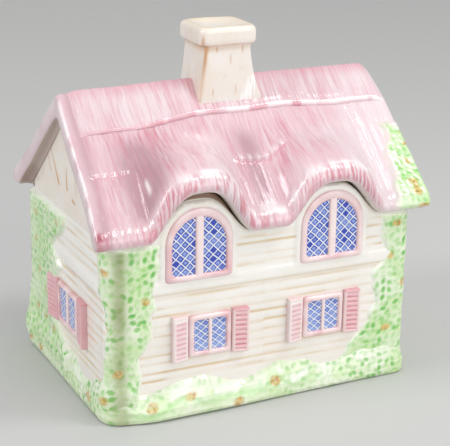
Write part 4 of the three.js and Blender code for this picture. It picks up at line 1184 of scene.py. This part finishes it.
def greenery(a, b, seed, pitch=4.4, flower=1.0):
    """Leaf dimples in glaze: the depth of the relief and the paint."""
    inside, tone = leaves(a / pitch, b / pitch, seed, 1.15, 0.74)
    small, small_tone = leaves(a / (pitch * 0.7) + 7, b / (pitch * 0.7), seed + 5, 0.85, 0.6)
    leaf = smooth(inside / 0.6 + 0.1)
    twig = smooth(small / 0.6) * (small_tone > 0.45)
    lump = mottle(a / 13.0, b / 11.0, seed + 11)
    cloud = mottle(a / 19.0, b / 15.0, seed + 13)
    ripple = mottle(a / 4.5, b / 4.0, seed + 12)
    relief = 1.2 * (lump - 0.5) + 0.4 * (ripple - 0.5) - 0.62 * leaf - 0.25 * twig
    blossom, blossom_tone = leaves(a / 25.0, b / 21.0, seed + 20, 0.3 * flower, 0.24 * flower)
    dabs = mottle(a / 1.8, b / 1.8, seed + 14)
    bloom = smooth(blossom * 2.6) * (blossom_tone > 0.3) * (0.35 + 0.75 * dabs)
    deep = leaf * ramp(tone, 0.62, 0.25) * 0.75 * ramp(inside, 0.05, 0.3)
    paint = {
        "leaf": np.clip(leaf * (0.2 + 0.6 * tone) + 0.35 * twig, 0, 1) * (0.45 + 0.7 * cloud),
        "deep": np.clip(deep, 0, 1) * (0.3 + cloud),
        "bloom": np.clip(bloom, 0, 1),
        "lump": lump,
    }
    return relief, paint


def hedge_reach(distance):
    """How far the hedge stands out of the walls at its widest."""
    along = np.mod(distance + STRAIGHT_X / 2 + 12.0, PERIMETER / 2)
    fall = ramp(along, 40.0, 150.0)
    corner_bulge = 1.2 * hump(distance, CORNERS["back_left"], 14.0)
    return 3.0 + 6.4 * smooth(along / 32.0) * (1 - 0.9 * fall) + corner_bulge


def hedge():
    """The hedge round the foot, with a raised ribbon of glaze along its bank and painted highlights along the
    ribbon.
    """
    distance = PERIMETER * np.arange(HEDGE_COLUMNS) / HEDGE_COLUMNS
    shares = np.linspace(0, 1, 34)[:, None]
    height = HEDGE_HEIGHT + 3.0 * np.sin(2 * np.pi * 11 * distance / PERIMETER)
    height = height + 3.0 * (mottle(distance / 9.0, 0 * distance, 61) - 0.5)
    z = 0.6 + (height - 0.6) * shares
    s = np.broadcast_to(distance, z.shape)
    widest = hedge_reach(distance)[None, :]
    reach = widest * np.interp(shares, *np.array(HEDGE_SECTION).T)
    relief, paint = greenery(s, z * 1.15, 63, flower=1.3)
    groove = hump(s, CORNERS["front_left"] + 5.5, 4.5)
    relief = relief * (1 - groove) * (0.35 + 0.65 * ramp(reach, 6.5, -4.0))
    swell = (mottle(s / 24.0, z / 30.0, 66) - 0.5) * smooth(reach / 5.0)
    ribbon = height * 0.66 + 2.4 * np.sin(s / 7.0 + 3.0 * mottle(s / 30.0, 0 * s, 68))
    relief = relief + 1.6 * swell + 0.5 * hump(z, ribbon, 2.8) * ramp(reach, 3.0, 3.0)
    calm = smooth(shares / 0.12) * ramp(shares, 1, -0.2) * (0.5 + 0.5 * ramp(reach, 2.0, 4.0))
    offset = np.clip(reach + relief * calm, 0.3 - 0.8 * ramp(shares, 0.93, 0.07), widest + 0.25)
    back = on_wall(distance, 0.6, -0.3)[None]
    back_top = on_wall(distance, height, -0.6)[None]
    points = np.concatenate([back, on_wall(s, z, offset), back_top, back])

    front_bank = ramp(widest, 4.0, 3.0)
    left_bank = ramp(distance, PERIMETER - STRAIGHT_Y - CORNER_ARC - STRAIGHT_X / 2, 12.0)[None, :]
    near_corner = hump(s, CORNERS["front_left"], 15.0)
    # Painted highlights along the raised ribbon, broken up, on the front bank and the left end
    painted_gloss_highlight = hump(z, ribbon, 2.3) * ramp(mottle(s / 11.0, z / 6.0, 67), 0.42, 0.1)
    painted_gloss_highlight = painted_gloss_highlight * np.maximum(front_bank, 0.6 * left_bank)
    under_ribbon = 0.5 * front_bank * hump(z, ribbon - 3.4, 2.2) * (1 - painted_gloss_highlight)
    # Paler fade paint on the top of the hedge and on its lumps, as painted light
    lumps = 0.8 * ramp(paint["lump"], 0.5, 0.3) * (0.25 + 0.75 * ramp(reach, 9, -5))
    fade = np.maximum(0.5 * ramp(z / height, 0.72, 0.28) + 0.2 * left_bank, lumps)
    paints = {
        "leaf": np.maximum(paint["leaf"] * (1 - 0.55 * front_bank), under_ribbon),
        "deep": paint["deep"] * (1 - 0.7 * front_bank),
        "bloom": paint["bloom"],
        "fade": fade * (1 - 0.85 * near_corner),
        "shade": 0.2 * ramp(z, 4.0, -4.0) + 0.6 * groove,
        "painted_gloss_highlight": np.clip(painted_gloss_highlight * (1 - near_corner), 0, 0.75),
        "bare": 0 * z,
    }
    none = np.zeros((1, HEDGE_COLUMNS))
    marks = {key: np.concatenate([none, value, none, none]) for key, value in paints.items()}
    piece = skin("foot_planting", points, marks, joined=True)
    return finished(piece, "foot_hedge", "jar", greens)


def corner_ivy(corner):
    """Ivy up one corner: grooved at the front left, where it is in full view, and fuller at the back left."""
    long_widths, end_widths, thickness, seed = IVY[corner]
    middle = CORNERS[corner]
    long_first = corner in ("front_right", "back_left")
    z = np.linspace(IVY_FOOT, IVY_TOP, 102)
    lobes = 5.0 * (mottle(z / 6.0, 0 * z, seed) - 0.5)
    other_lobes = 5.0 * (mottle(z / 6.0, 0 * z, seed + 1) - 0.5)
    long_width = np.interp(z, IVY_LEVELS, long_widths) + lobes
    end_width = np.interp(z, IVY_LEVELS, end_widths) + other_lobes
    before, after = (long_width, end_width) if long_first else (end_width, long_width)
    share = np.linspace(0, 1, 64)[None, :]
    width = (before + after)[:, None]
    s = middle - before[:, None] + width * share
    level = np.broadcast_to(z[:, None], s.shape)
    edge = np.minimum(share * width, (1 - share) * width)
    edge = np.minimum(edge, (IVY_TOP - level) * 1.5 + 0.4)
    body = smooth(edge / 5.0)
    narrow = 1.5 if corner == "back_left" else 1.0
    relief, paint = greenery(s * narrow, level, seed + 2)
    rich = 0.4 if corner == "front_left" else 1.0
    paint["leaf"] = np.clip(0.1 * rich + (1 + 0.35 * rich) * paint["leaf"], 0, 1)
    paint["deep"] = np.clip((1 + 0.3 * rich) * paint["deep"], 0, 1)
    offset = body * (thickness * 0.8 + 0.55 * relief * min(1.0, thickness / 1.8)) - 0.35 * (1 - body)
    if corner == "back_left":
        offset = offset + 3.0 * hump(level, 20.0, 20.0) * hump(s, middle, 15.0) * body
    if corner == "front_left":
        groove = hump(s, middle + 5.5, 4.5)
        offset = offset * (1 - 0.85 * groove) + 0.25 * groove + 0.9 * body * hump(s, middle + 15, 6.0)
    offset = offset + 2.4 * body * ramp(level, 27.0, -12.0) * (corner != "front_right")
    offset[0] = offset[-1] = -0.5
    offset[:, 0] = offset[:, -1] = -0.5
    points = both_faces(on_wall(s, level, offset), on_wall(s, level, 0 * s - 0.5))
    fade = np.clip(1 - smooth(edge / 7.0) + 0.5 * ramp(paint["lump"], 0.55, 0.3), 0, 1)
    quiet = ramp(edge, 1.0, 5.0)
    shade = np.zeros(s.shape)
    if corner == "front_left":
        shade = 0.9 * hump(s, middle + 5.0, 3.9) * (0.6 + 0.6 * mottle(level / 16, 0 * s, seed + 4)) * quiet
    marks = {key: paint[key] * quiet for key in ("leaf", "deep", "bloom")}
    marks.update({"fade": fade, "shade": shade, "painted_gloss_highlight": 0 * shade, "bare": 0 * shade})
    piece = skin(f"{corner}_climber", points, mirrored(marks), joined=True)
    return finished(piece, f"ivy_{corner}", "jar", greens)


def roof_ivy(side):
    """Ivy down the right end of the roof and over its lip, in front (-1) or behind (1)."""
    name, seed = ("roof_ivy_front", 111) if side < 0 else ("roof_ivy_back", 121)
    path = np.linspace(ROOF_IVY_TOP, EAVE_Y + ROOF_IVY_DROP, 76)[:, None]
    t = np.minimum(path, EAVE_Y)
    fall = np.maximum(path - EAVE_Y, 0.0)
    up = (EAVE_Y - t) / (EAVE_Y - ROOF_IVY_TOP)
    start = 77.0 + 11.0 * up + 2.5 * np.sin(2 * np.pi * up) ** 2
    start = start + 4.0 * (mottle(path / 6.0, 0 * t, seed) - 0.5)
    end = rake_reach(t, 1.0) + right_swell(t) - 0.5
    x = start + (end - start) * np.linspace(0, 1, 44)[None, :]
    level = np.broadcast_to(path, x.shape)
    inner_edge = np.minimum(x - start, (level - ROOF_IVY_TOP) * 1.2)
    edge = np.minimum(inner_edge, (EAVE_Y + ROOF_IVY_DROP - level) * 1.5)
    body = smooth(edge / 4.0) * smooth((end - x) * 2.0 / 1.5)
    relief, paint = greenery(x, level * 1.35, seed + 2)
    lift = body * (1.7 + 0.3 * relief) - 0.5 * (1 - body)
    lift = lift * (1 - 0.45 * ramp(level, EAVE_Y - 2.0, 4.0))
    lift[0] = lift[-1] = -0.8
    lift[:, 0] = lift[:, -1] = -0.8
    reach = ((x - end - 0.5 + RAKE_RUN) / RAKE_RUN).clip(0, 0.96)
    sunk = RAKE_ROUND * (1 - np.sqrt(1 - reach ** 2))
    base = thatch_height(np.full_like(x, WALL_X), np.minimum(level, EAVE_Y)) - fall
    out_y = np.interp(fall, *np.array(LIP_SECTION).T)
    on_lip = smooth(fall / 2.0)
    lean_y = 0.7 + 0.3 * on_lip
    lean_z = 0.7 * (1 - on_lip)
    across = np.minimum(level, EAVE_Y) + out_y - sunk * lean_y
    height = base - sunk * lean_z

    def raised(by):
        return np.stack([x, side * (across + by * lean_y), height + by * lean_z], axis=2)

    blotch = mottle(x / 8.0, level / 7.0, seed + 8)
    fade = np.clip(0.45 * ramp(blotch, 0.5, 0.2), 0, 1)
    quiet = ramp(inner_edge, 1.0, 4.0)
    dabs = ramp(mottle(x / 4.0, level / 3.2, seed + 6), 0.66, 0.14) * ramp(x - start, 9.0, 5.0)
    ragged = 6.0 * mottle(x / 5.0, level / 5.0, seed + 9)
    bare = 0.9 * (1 - ramp(inner_edge + ragged, 5.0, 5.0))
    marks = {
        "leaf": np.clip(paint["leaf"] * 0.6 + 0.35 * (1 - fade), 0, 1) * quiet,
        "deep": paint["deep"] * quiet * 0.4,
        "bloom": np.clip(paint["bloom"] * quiet + 0.75 * dabs, 0, 1),
        "fade": fade,
        "shade": 0 * x,
        # Painted highlights in patches over the leaves
        "painted_gloss_highlight": 0.6 * ramp(mottle(x / 5.5, level / 5.0, seed + 10), 0.64, 0.12) * (1 - bare),
        "bare": bare,
    }
    points = both_faces(raised(lift), raised(-ROOF_IVY_SUNK))
    piece = skin(f"{name}_leaves", points, mirrored(marks), joined=True)
    return finished(piece, name, "lid", greens)


# Windows

def onto_wall(turns, distance, points):
    """From along, up and out of a wall to the place in the jar."""
    along, up, out = points[..., 0], points[..., 1], points[..., 2]
    x, y = along, -distance - out
    angle = turns * math.pi / 2
    cos, sin = round(math.cos(angle)), round(math.sin(angle))
    return np.stack([x * cos - y * sin, x * sin + y * cos, up], axis=-1)


def arch_loop(half, sill, spring, count=40):
    """A closed arched outline, counter-clockwise from the left end of its sill."""
    across = np.linspace(-half, half, 21)[:-1]
    up = np.linspace(sill, spring, 17)[:-1]
    turn = np.linspace(0, math.pi, count + 1)[:-1]
    sides = [np.stack([across, 0 * across + sill], 1), np.stack([0 * up + half, up], 1),
             np.stack([half * np.cos(turn), spring + half * np.sin(turn)], 1),
             np.stack([0 * up - half, up[::-1] + (spring - sill) / 16], 1)]
    return np.concatenate(sides)


def box_loop(half, low, high):
    """A closed box outline, counter-clockwise from its lower left corner."""
    across = np.linspace(-half, half, 25)[:-1]
    up = np.linspace(low, high, 23)[:-1]
    sides = [np.stack([across, 0 * across + low], 1), np.stack([0 * up + half, up], 1),
             np.stack([-across, 0 * across + high], 1), np.stack([0 * up - half, high + low - up], 1)]
    return np.concatenate(sides)


def frame_band(node, turns, distance, centre, outer, inner):
    """The soft moulded band of a window, between two outlines."""
    outer, inner = rounded(outer, 3), rounded(inner, 3)
    shares, heights = np.array(BAND_SECTION).T[:, :, None]
    line = outer + (inner - outer) * shares[:, :, None]
    x, z = line[:, :, 0], line[:, :, 1]
    out = heights * FRAME_THICKNESS + 0 * x
    out = out + 0.18 * (mottle(x / 4.0 + centre, z / 4.0, 131) - 0.5) * (out > 0.5)
    patches = ramp(mottle(x / 7 + centre, z / 7, 134), 0.35, 0.6)
    rose = 0.4 * hump(shares, 1.0, 0.16) + 0.38 * hump(shares, 0.04, 0.12)
    rose = rose + 0.35 * patches + 0.12 * mottle(x / 3, z / 3, 132)
    marks = {"rose": np.clip(rose, 0, 1), "pale": 0.4 + 0.6 * ramp(shares, 0.42, -0.36) + 0 * x}
    points = onto_wall(turns, distance, np.stack([x + centre, z, out], axis=2))
    points = np.concatenate([points, points[:1]])
    piece = skin(f"{node}_band", points, wrapped(marks), joined=True)
    return finished(piece, f"{node}_frame", "jar", trim)


def frame_post(node, turns, distance, centre, mullion, low, high):
    """The post down the middle of a window."""
    places, heights = np.array(POST_SECTION).T
    up = np.linspace(low, high, 26)[:, None]
    across = places * mullion / 2 + 0 * up
    out = heights * FRAME_THICKNESS * 0.96
    out = out + 0.15 * (mottle(up / 5.0 + 0 * across, across, 133) - 0.5) * (out > 1)
    front = np.stack([across + centre, up + 0 * across, out], axis=2)
    back = front * np.array([1.0, 1.0, 0.0])
    rose = 0.35 * ramp(np.abs(places), 0.7, 0.3) + 0 * across
    marks = mirrored({"rose": rose, "pale": 0.6 + 0 * across})
    points = onto_wall(turns, distance, both_faces(front, back))
    piece = skin(f"{node}_post", points, marks, joined=True, capped=True)
    return finished(piece, f"{node}_frame", "jar", trim)


def lattice(node, turns, distance, centre, half_at, low, high, pane_z=PANE_Z, milk=0.0):
    """Panes under raised diagonal leads, filling an outline whose half width is given at each height."""
    up = np.linspace(low, high, 64)
    x = half_at(up)[:, None] * np.linspace(-1, 1, 60)[None, :]
    z = np.broadcast_to(up[:, None], x.shape)
    sway = 0.16 * (mottle(x / 5.0 + centre, z / 5.0, 135) - 0.5)
    warp = x / PANE_X + z / pane_z + sway
    weft = x / PANE_X - z / pane_z + sway
    near = np.minimum(np.abs(warp - np.round(warp)), np.abs(weft - np.round(weft)))
    out = LATTICE_THICKNESS - 0.12 + 0.32 * hump(near, 0.0, 0.1) + 0.18 * ramp(near, 0.12, 0.3)
    front = np.stack([x + centre, z, out], axis=2)
    back = np.stack([x + centre, z, 0 * x + 0.05], axis=2)
    points = onto_wall(turns, distance, both_faces(front, back))
    cloud = milk * (0.5 + 0.9 * mottle(x / 4.0 + centre, z / 4.0, 136)) + 0.35 * ramp(z, low + 8, -8)
    marks = mirrored({"warp": warp + 40, "weft": weft + 60, "milk": cloud})
    piece = skin(f"{node}_panes", points, marks, joined=True, capped=True)
    return finished(piece, f"{node}_lattice", "jar", panes)


def shutter(node, turns, distance, start, end, bottom, top, on_left, rosier_all_over):
    """A louvred shutter, thin beside the window and thick at its outer edge."""
    width, height = abs(end - start), top - bottom
    edge, drop = np.array(SHUTTER_EDGE).T
    u = np.concatenate([edge, np.linspace(1.4, width - 1.4, 16), width - edge[::-1]])
    v = np.concatenate([edge, np.linspace(1.3, height - 1.3, 66), height - edge[::-1]])
    fall_u = np.concatenate([drop, np.zeros(16), drop[::-1]])
    fall_v = np.concatenate([drop, np.zeros(66), drop[::-1]])
    uu, vv = np.meshgrid(u, v)
    field = ramp(np.minimum(uu, width - uu), SHUTTER_STILE - 0.4, 0.6)
    field = field * ramp(np.minimum(vv, height - vv), SHUTTER_STILE - 0.3, 0.6)
    pitch = (height - 2 * SHUTTER_STILE) / LOUVRES
    phase = np.mod(vv - SHUTTER_STILE, pitch) / pitch
    slat = 1 - hump(np.minimum(phase, 1 - phase), 0.0, 0.2)
    thick = SHUTTER_INNER + (SHUTTER_OUTER - SHUTTER_INNER) * uu / width
    out = thick - 0.55 * field + 0.5 * field * slat
    out = np.maximum(out - fall_u[None, :] - fall_v[:, None], 0.0)
    front = np.stack([start + (end - start) * uu / width, vv + bottom, out], axis=2)
    back = front * np.array([1.0, 1.0, 0.0])
    points = onto_wall(turns, distance, both_faces(front, back))

    slats, wash, head, stiles, pallor = LEFT_SHUTTER if on_left else RIGHT_SHUTTER
    # A near-white cap along the top of each left shutter, a painted highlight
    cap = on_left * ramp(vv, height - 3.4, 1.2) * ramp(vv, height - 0.5, -0.8)
    rose = field * (0.3 + 0.7 * (1 - slat)) * (0.55 + 0.6 * mottle(uu / 3.0 + start, vv / 1.5, 141))
    rose = np.clip(rose * slats + wash, 0, 1)
    rose = np.maximum(rose, head * ramp(vv, height - 1.6, 0.9)) * (1 - cap)
    pale = np.clip((1 - field) * stiles + pallor + cap, 0, 1)
    # On the left end wall the shutters are rosier all over and have no pale
    if rosier_all_over:
        rose = np.clip(0.45 + 0.5 * rose, 0, 1)
        pale = 0 * pale
    marks = {"rose": np.concatenate([rose, rose], 1), "pale": np.concatenate([pale, 0 * pale], 1)}
    piece = skin(f"{node}_leaf", points, marks, joined=True)
    return finished(piece, node, "jar", trim)


def dormer_window(node, turns, centre):
    head = DORMER_LIGHT_SPRING + DORMER_LIGHT_HALF

    def half_at(up):
        above = np.maximum(up - DORMER_LIGHT_SPRING, 0)
        reach = DORMER_LIGHT_HALF + LATTICE_LAP
        return np.sqrt(np.maximum(reach ** 2 - above ** 2, 0.04))

    frame_band(node, turns, WALL_Y, centre, arch_loop(DORMER_HALF, DORMER_SILL, DORMER_SPRING),
               arch_loop(DORMER_LIGHT_HALF, DORMER_LIGHT_SILL, DORMER_LIGHT_SPRING))
    frame_post(node, turns, WALL_Y, centre, DORMER_POST, DORMER_LIGHT_SILL - 1, head + 1)
    lattice(node, turns, WALL_Y, centre, half_at, DORMER_LIGHT_SILL - LATTICE_LAP, head + LATTICE_LAP)


def shuttered_window(node, turns, distance, centre, size):
    half, sill, bar = size["half"], size["sill"], size["bar"]
    top = sill + size["height"]
    low, high, inner = sill + bar, top - bar, half - bar
    frame_band(node, turns, distance, centre, box_loop(half, sill, top), box_loop(inner, low, high))
    frame_post(node, turns, distance, centre, 0.75 * size["mullion"], low - 1, high + 1)
    lattice(node, turns, distance, centre, lambda up: np.full(up.shape, inner + LATTICE_LAP),
            low - LATTICE_LAP, high + LATTICE_LAP, LOWER_PANE_Z, LOWER_MILK)
    start = half + SHUTTER_GAP
    for place, side in (("left", -1), ("right", 1)):
        near, far = centre + side * start, centre + side * (start + size["shutter"])
        shutter(f"{node}_shutter_{place}", turns, distance, near, far, sill - SHUTTER_OVERHANG,
                top + SHUTTER_OVERHANG, side < 0, turns == -1)


def windows():
    """All windows, each placed by the quarter turns that lead from the front to its wall."""
    for side, turns in (("front", 0), ("back", 2)):
        for place, centre in (("left", -DORMER_X), ("right", DORMER_X)):
            dormer_window(f"{side}_dormer_{place}", turns, centre)
        for place, centre in LOWER_CENTRES.items():
            shuttered_window(f"{side}_window_{place}", turns, WALL_Y, centre, LOWER)
    shuttered_window("left_end_window", -1, WALL_X, -END_Y, END)
    shuttered_window("right_end_window", 1, WALL_X, END_Y, END)


# Chimney

def square_ring(half_x, half_y, radius, level, shift=0.0, per_side=22, corner=6):
    """A rounded rectangle of points at one height, counter-clockwise."""
    points = []
    for quarter, (sx, sy) in enumerate(((1, 1), (-1, 1), (-1, -1), (1, -1))):
        for step in range(corner + 1):
            angle = (quarter + step / corner) * math.pi / 2
            points.append((sx * (half_x - radius) + radius * math.cos(angle),
                           sy * (half_y - radius) + radius * math.sin(angle)))
    ring = []
    for n, here in enumerate(points):
        after = points[(n + 1) % len(points)]
        count = per_side if (n % (corner + 1)) == corner else 1
        for k in range(count):
            ring.append([start + (end - start) * k / count for start, end in zip(here, after)])
    ring = np.array(ring)
    return np.stack([ring[:, 0] + STACK_X + shift, ring[:, 1], np.broadcast_to(level, len(ring))], axis=1)


def stack_rings():
    """The stack from its foot up, leaning out below, and its bore back down."""
    rings = []
    for z in np.linspace(STACK_BASE, STACK_NECK + 0.8, STACK_ROWS):
        down = min(max((STACK_NECK - z) / (STACK_NECK - STACK_FOOT), 0.0), 1.0)
        slip = STACK_SLIP * down ** 3
        half_x = STACK_HALF_X + STACK_SPREAD * down ** 1.2 + slip
        rings.append(square_ring(half_x, STACK_HALF_Y, STACK_CORNER, z, slip, STACK_PER_SIDE))
    bore_x, bore_y = STACK_HALF_X - STACK_WALL, STACK_HALF_Y - STACK_WALL
    rings.append(square_ring(bore_x + 0.5, bore_y + 0.5, 1.0, STACK_NECK + 0.8, 0.0, STACK_PER_SIDE))
    for z in np.linspace(STACK_NECK - 0.5, STACK_BASE, 8):
        rings.append(square_ring(bore_x, bore_y, 0.8, z, 0.0, STACK_PER_SIDE))
    return np.array(rings + rings[:1])


def stack_dabs(x, y, z):
    """How strong the dabs of glaze on the faces of the stack are, from 0 to 1."""
    dabs = np.zeros(x.shape)
    for place, level, length, strength in STACK_DABS:
        for facing in (-1, 1):
            front = hump(x, place, 0.5) * np.exp(-((z - level) / length) ** 4) * (y * facing > 12)
            side = hump(y, place, 0.5) * np.exp(-((z - level - 1.0) / length) ** 4) * (x * facing > 12)
            dabs = np.maximum(dabs, strength * np.maximum(front, 0.35 * side))
    return dabs


def stack():
    """The hollow chimney stack with the waves, dabs and stains of its glaze, and a painted highlight low on
    its front.
    """
    points = stack_rings()
    outer = np.zeros(points.shape[:2])
    outer[:STACK_ROWS] = 1.0
    x, y, z = points[:, :, 0], points[:, :, 1], points[:, :, 2]
    around = np.arctan2(y, x - STACK_X) * 16
    waves = mottle(around / 6.0, z / 13.0, 151)
    dabs = stack_dabs(x, y, z)
    normal = np.stack([x - STACK_X, y, 0 * z], axis=2)
    normal /= np.maximum(np.linalg.norm(normal, axis=2, keepdims=True), 1e-6)
    relief = outer * (0.5 * (waves - 0.6) - 0.22 * dabs) * ramp(z, STACK_NECK, -3)
    left = (x - STACK_X).min(axis=1, keepdims=True)
    corner = np.hypot(x - STACK_X - left, y + STACK_HALF_Y)
    crease = hump(corner, 0.6, 1.0) * (0.4 + 0.6 * ramp(z, 176, 16))
    neck = ramp(z, STACK_NECK - 5.0, 4.0)
    # A painted highlight low on the right of the front face
    shine = (y < -12) * ramp(z, 163, 2) * ramp(x - 0.5 * (z - 165), 4, 5) * ramp(z, 181, -4)
    marks = {
        "streak": outer * np.clip(0.5 * neck * waves + 0.12 * waves, 0, 1),
        "stain": outer * np.clip(0.8 * dabs + crease + 0.4 * neck * (0.3 + waves) * ramp(z, 191, 4), 0, 0.9),
        "bowl": 0 * z,
        "painted_gloss_highlight": outer * shine,
    }
    piece = skin("chimney_shaft", points + normal * relief[:, :, None], marks, joined=True)
    return finished(piece, "chimney_stack", "lid", stack_cream)


def crown():
    """The block on top of the stack, with a shallow bowl."""
    rings = [square_ring(2.0, 2.0, 0.4, STACK_NECK)]
    for up, inset in CROWN_SECTION:
        radius = min(CROWN_CORNER + 0.6 * inset, (CROWN_Y - inset) * 0.72)
        rings.append(square_ring(CROWN_X - inset, CROWN_Y - inset, radius, STACK_NECK + up))
    points = np.array(rings)
    x, y, z = points[:, :, 0], points[:, :, 1], points[:, :, 2]
    around = np.arctan2(y, x - STACK_X) * 18
    waves = mottle(around / 9.0, z / 6.0, 154)
    rimmed = np.zeros(z.shape)
    rimmed[5:14] = 1.0
    z += 0.4 * (waves - 0.65) * rimmed * (z > STACK_NECK + 6)
    foot = ramp(z, STACK_NECK + 2.2, -2.0)
    diagonal = (x - STACK_X - y) * (x < STACK_X)
    bowl = np.zeros(z.shape)
    bowl[9:17] = np.array(CROWN_BOWL)[:, None]
    streak = 0.75 * foot * (0.4 + waves) + 0.14 * waves + 0.5 * ramp(x, 11, 5) * waves
    marks = {
        "streak": np.clip(streak, 0, 1),
        "stain": 0.9 * hump(diagonal, -0.6, 1.3) * (x < STACK_X - 8) * ramp(z, STACK_NECK + 8, -3),
        "bowl": bowl,
        "painted_gloss_highlight": 0 * z,
    }
    piece = skin("chimney_top", points, marks, joined=True, capped=True)
    return finished(piece, "chimney_crown", "lid", stack_cream)


# Studio

def floor():
    shape = bmesh.new()
    bmesh.ops.create_grid(shape, x_segments=1, y_segments=1, size=FLOOR_HALF)
    mesh = bpy.data.meshes.new("studio_floor")
    shape.to_mesh(mesh)
    shape.free()
    piece = placed("studio_floor", mesh)
    glaze = Glaze("studio_floor", FLOOR_PAINT, 0.6, 0.0)
    far = glaze.band(glaze.axis("Y"), -0.25, 1.3)
    # Painted shade: the floor's paint darkens towards the near left
    right = glaze.band(glaze.axis("X"), -0.5, 0.35)
    near = glaze.blend(right, glaze.paint["near_left"], glaze.paint["near_right"])
    mesh.materials.append(glaze.finish(glaze.blend(far, near, glaze.paint["far"])))


def lamp(name, place, width, height, power):
    data = bpy.data.lights.new(name, "AREA")
    data.shape = "RECTANGLE"
    data.size = width
    data.size_y = height
    data.energy = power
    piece = bpy.data.objects.new(name, data)
    bpy.context.scene.collection.objects.link(piece)
    piece.location = place
    piece.rotation_euler = (Vector(LAMP_TARGET) - Vector(place)).to_track_quat("-Z", "Y").to_euler()


def studio():
    for name, (place, width, height, power) in LAMPS.items():
        lamp(name, place, width, height, power)
    world = bpy.data.worlds.new("studio_air")
    bpy.context.scene.world = world
    world.use_nodes = True
    air = world.node_tree.nodes["Background"]
    air.inputs["Color"].default_value = AIR_COLOUR
    air.inputs["Strength"].default_value = AIR_STRENGTH
    bpy.context.scene.view_settings.view_transform = "Standard"


def camera():
    data = bpy.data.cameras.new("camera")
    data.sensor_fit = "HORIZONTAL"
    data.sensor_width = SENSOR_WIDTH
    data.lens = SENSOR_WIDTH * CAMERA_PIXELS / IMAGE_WIDTH
    data.clip_start = 0.05
    data.clip_end = 20.0
    piece = bpy.data.objects.new("camera", data)
    bpy.context.scene.collection.objects.link(piece)
    level = math.cos(CAMERA_CLIMB)
    back = Vector((math.sin(CAMERA_AZIMUTH) * level, -math.cos(CAMERA_AZIMUTH) * level,
                   math.sin(CAMERA_CLIMB)))
    right = (-back).cross(Vector((0, 0, 1))).normalized()
    up = right.cross(-back)
    turned_right = right * math.cos(CAMERA_ROLL) + up * math.sin(CAMERA_ROLL)
    turned_up = up * math.cos(CAMERA_ROLL) - right * math.sin(CAMERA_ROLL)
    turn = Matrix((turned_right, turned_up, back)).transposed()
    eye = (Vector(CAMERA_TARGET) + back * CAMERA_DISTANCE) * MM
    piece.matrix_world = Matrix.Translation(eye) @ turn.to_4x4()
    bpy.context.scene.camera = piece


roof()
ridge_cap()
jar()
hedge()
for corner in IVY:
    corner_ivy(corner)
for side in (-1, 1):
    roof_ivy(side)
windows()
stack()
crown()
for node, glaze in (("gable_left", gable_cream), ("gable_right", gable_cream),
                    ("locating_flange", inside_cream)):
    nodes[node].data.materials.clear()
    nodes[node].data.materials.append(glaze)
floor()
studio()
camera()
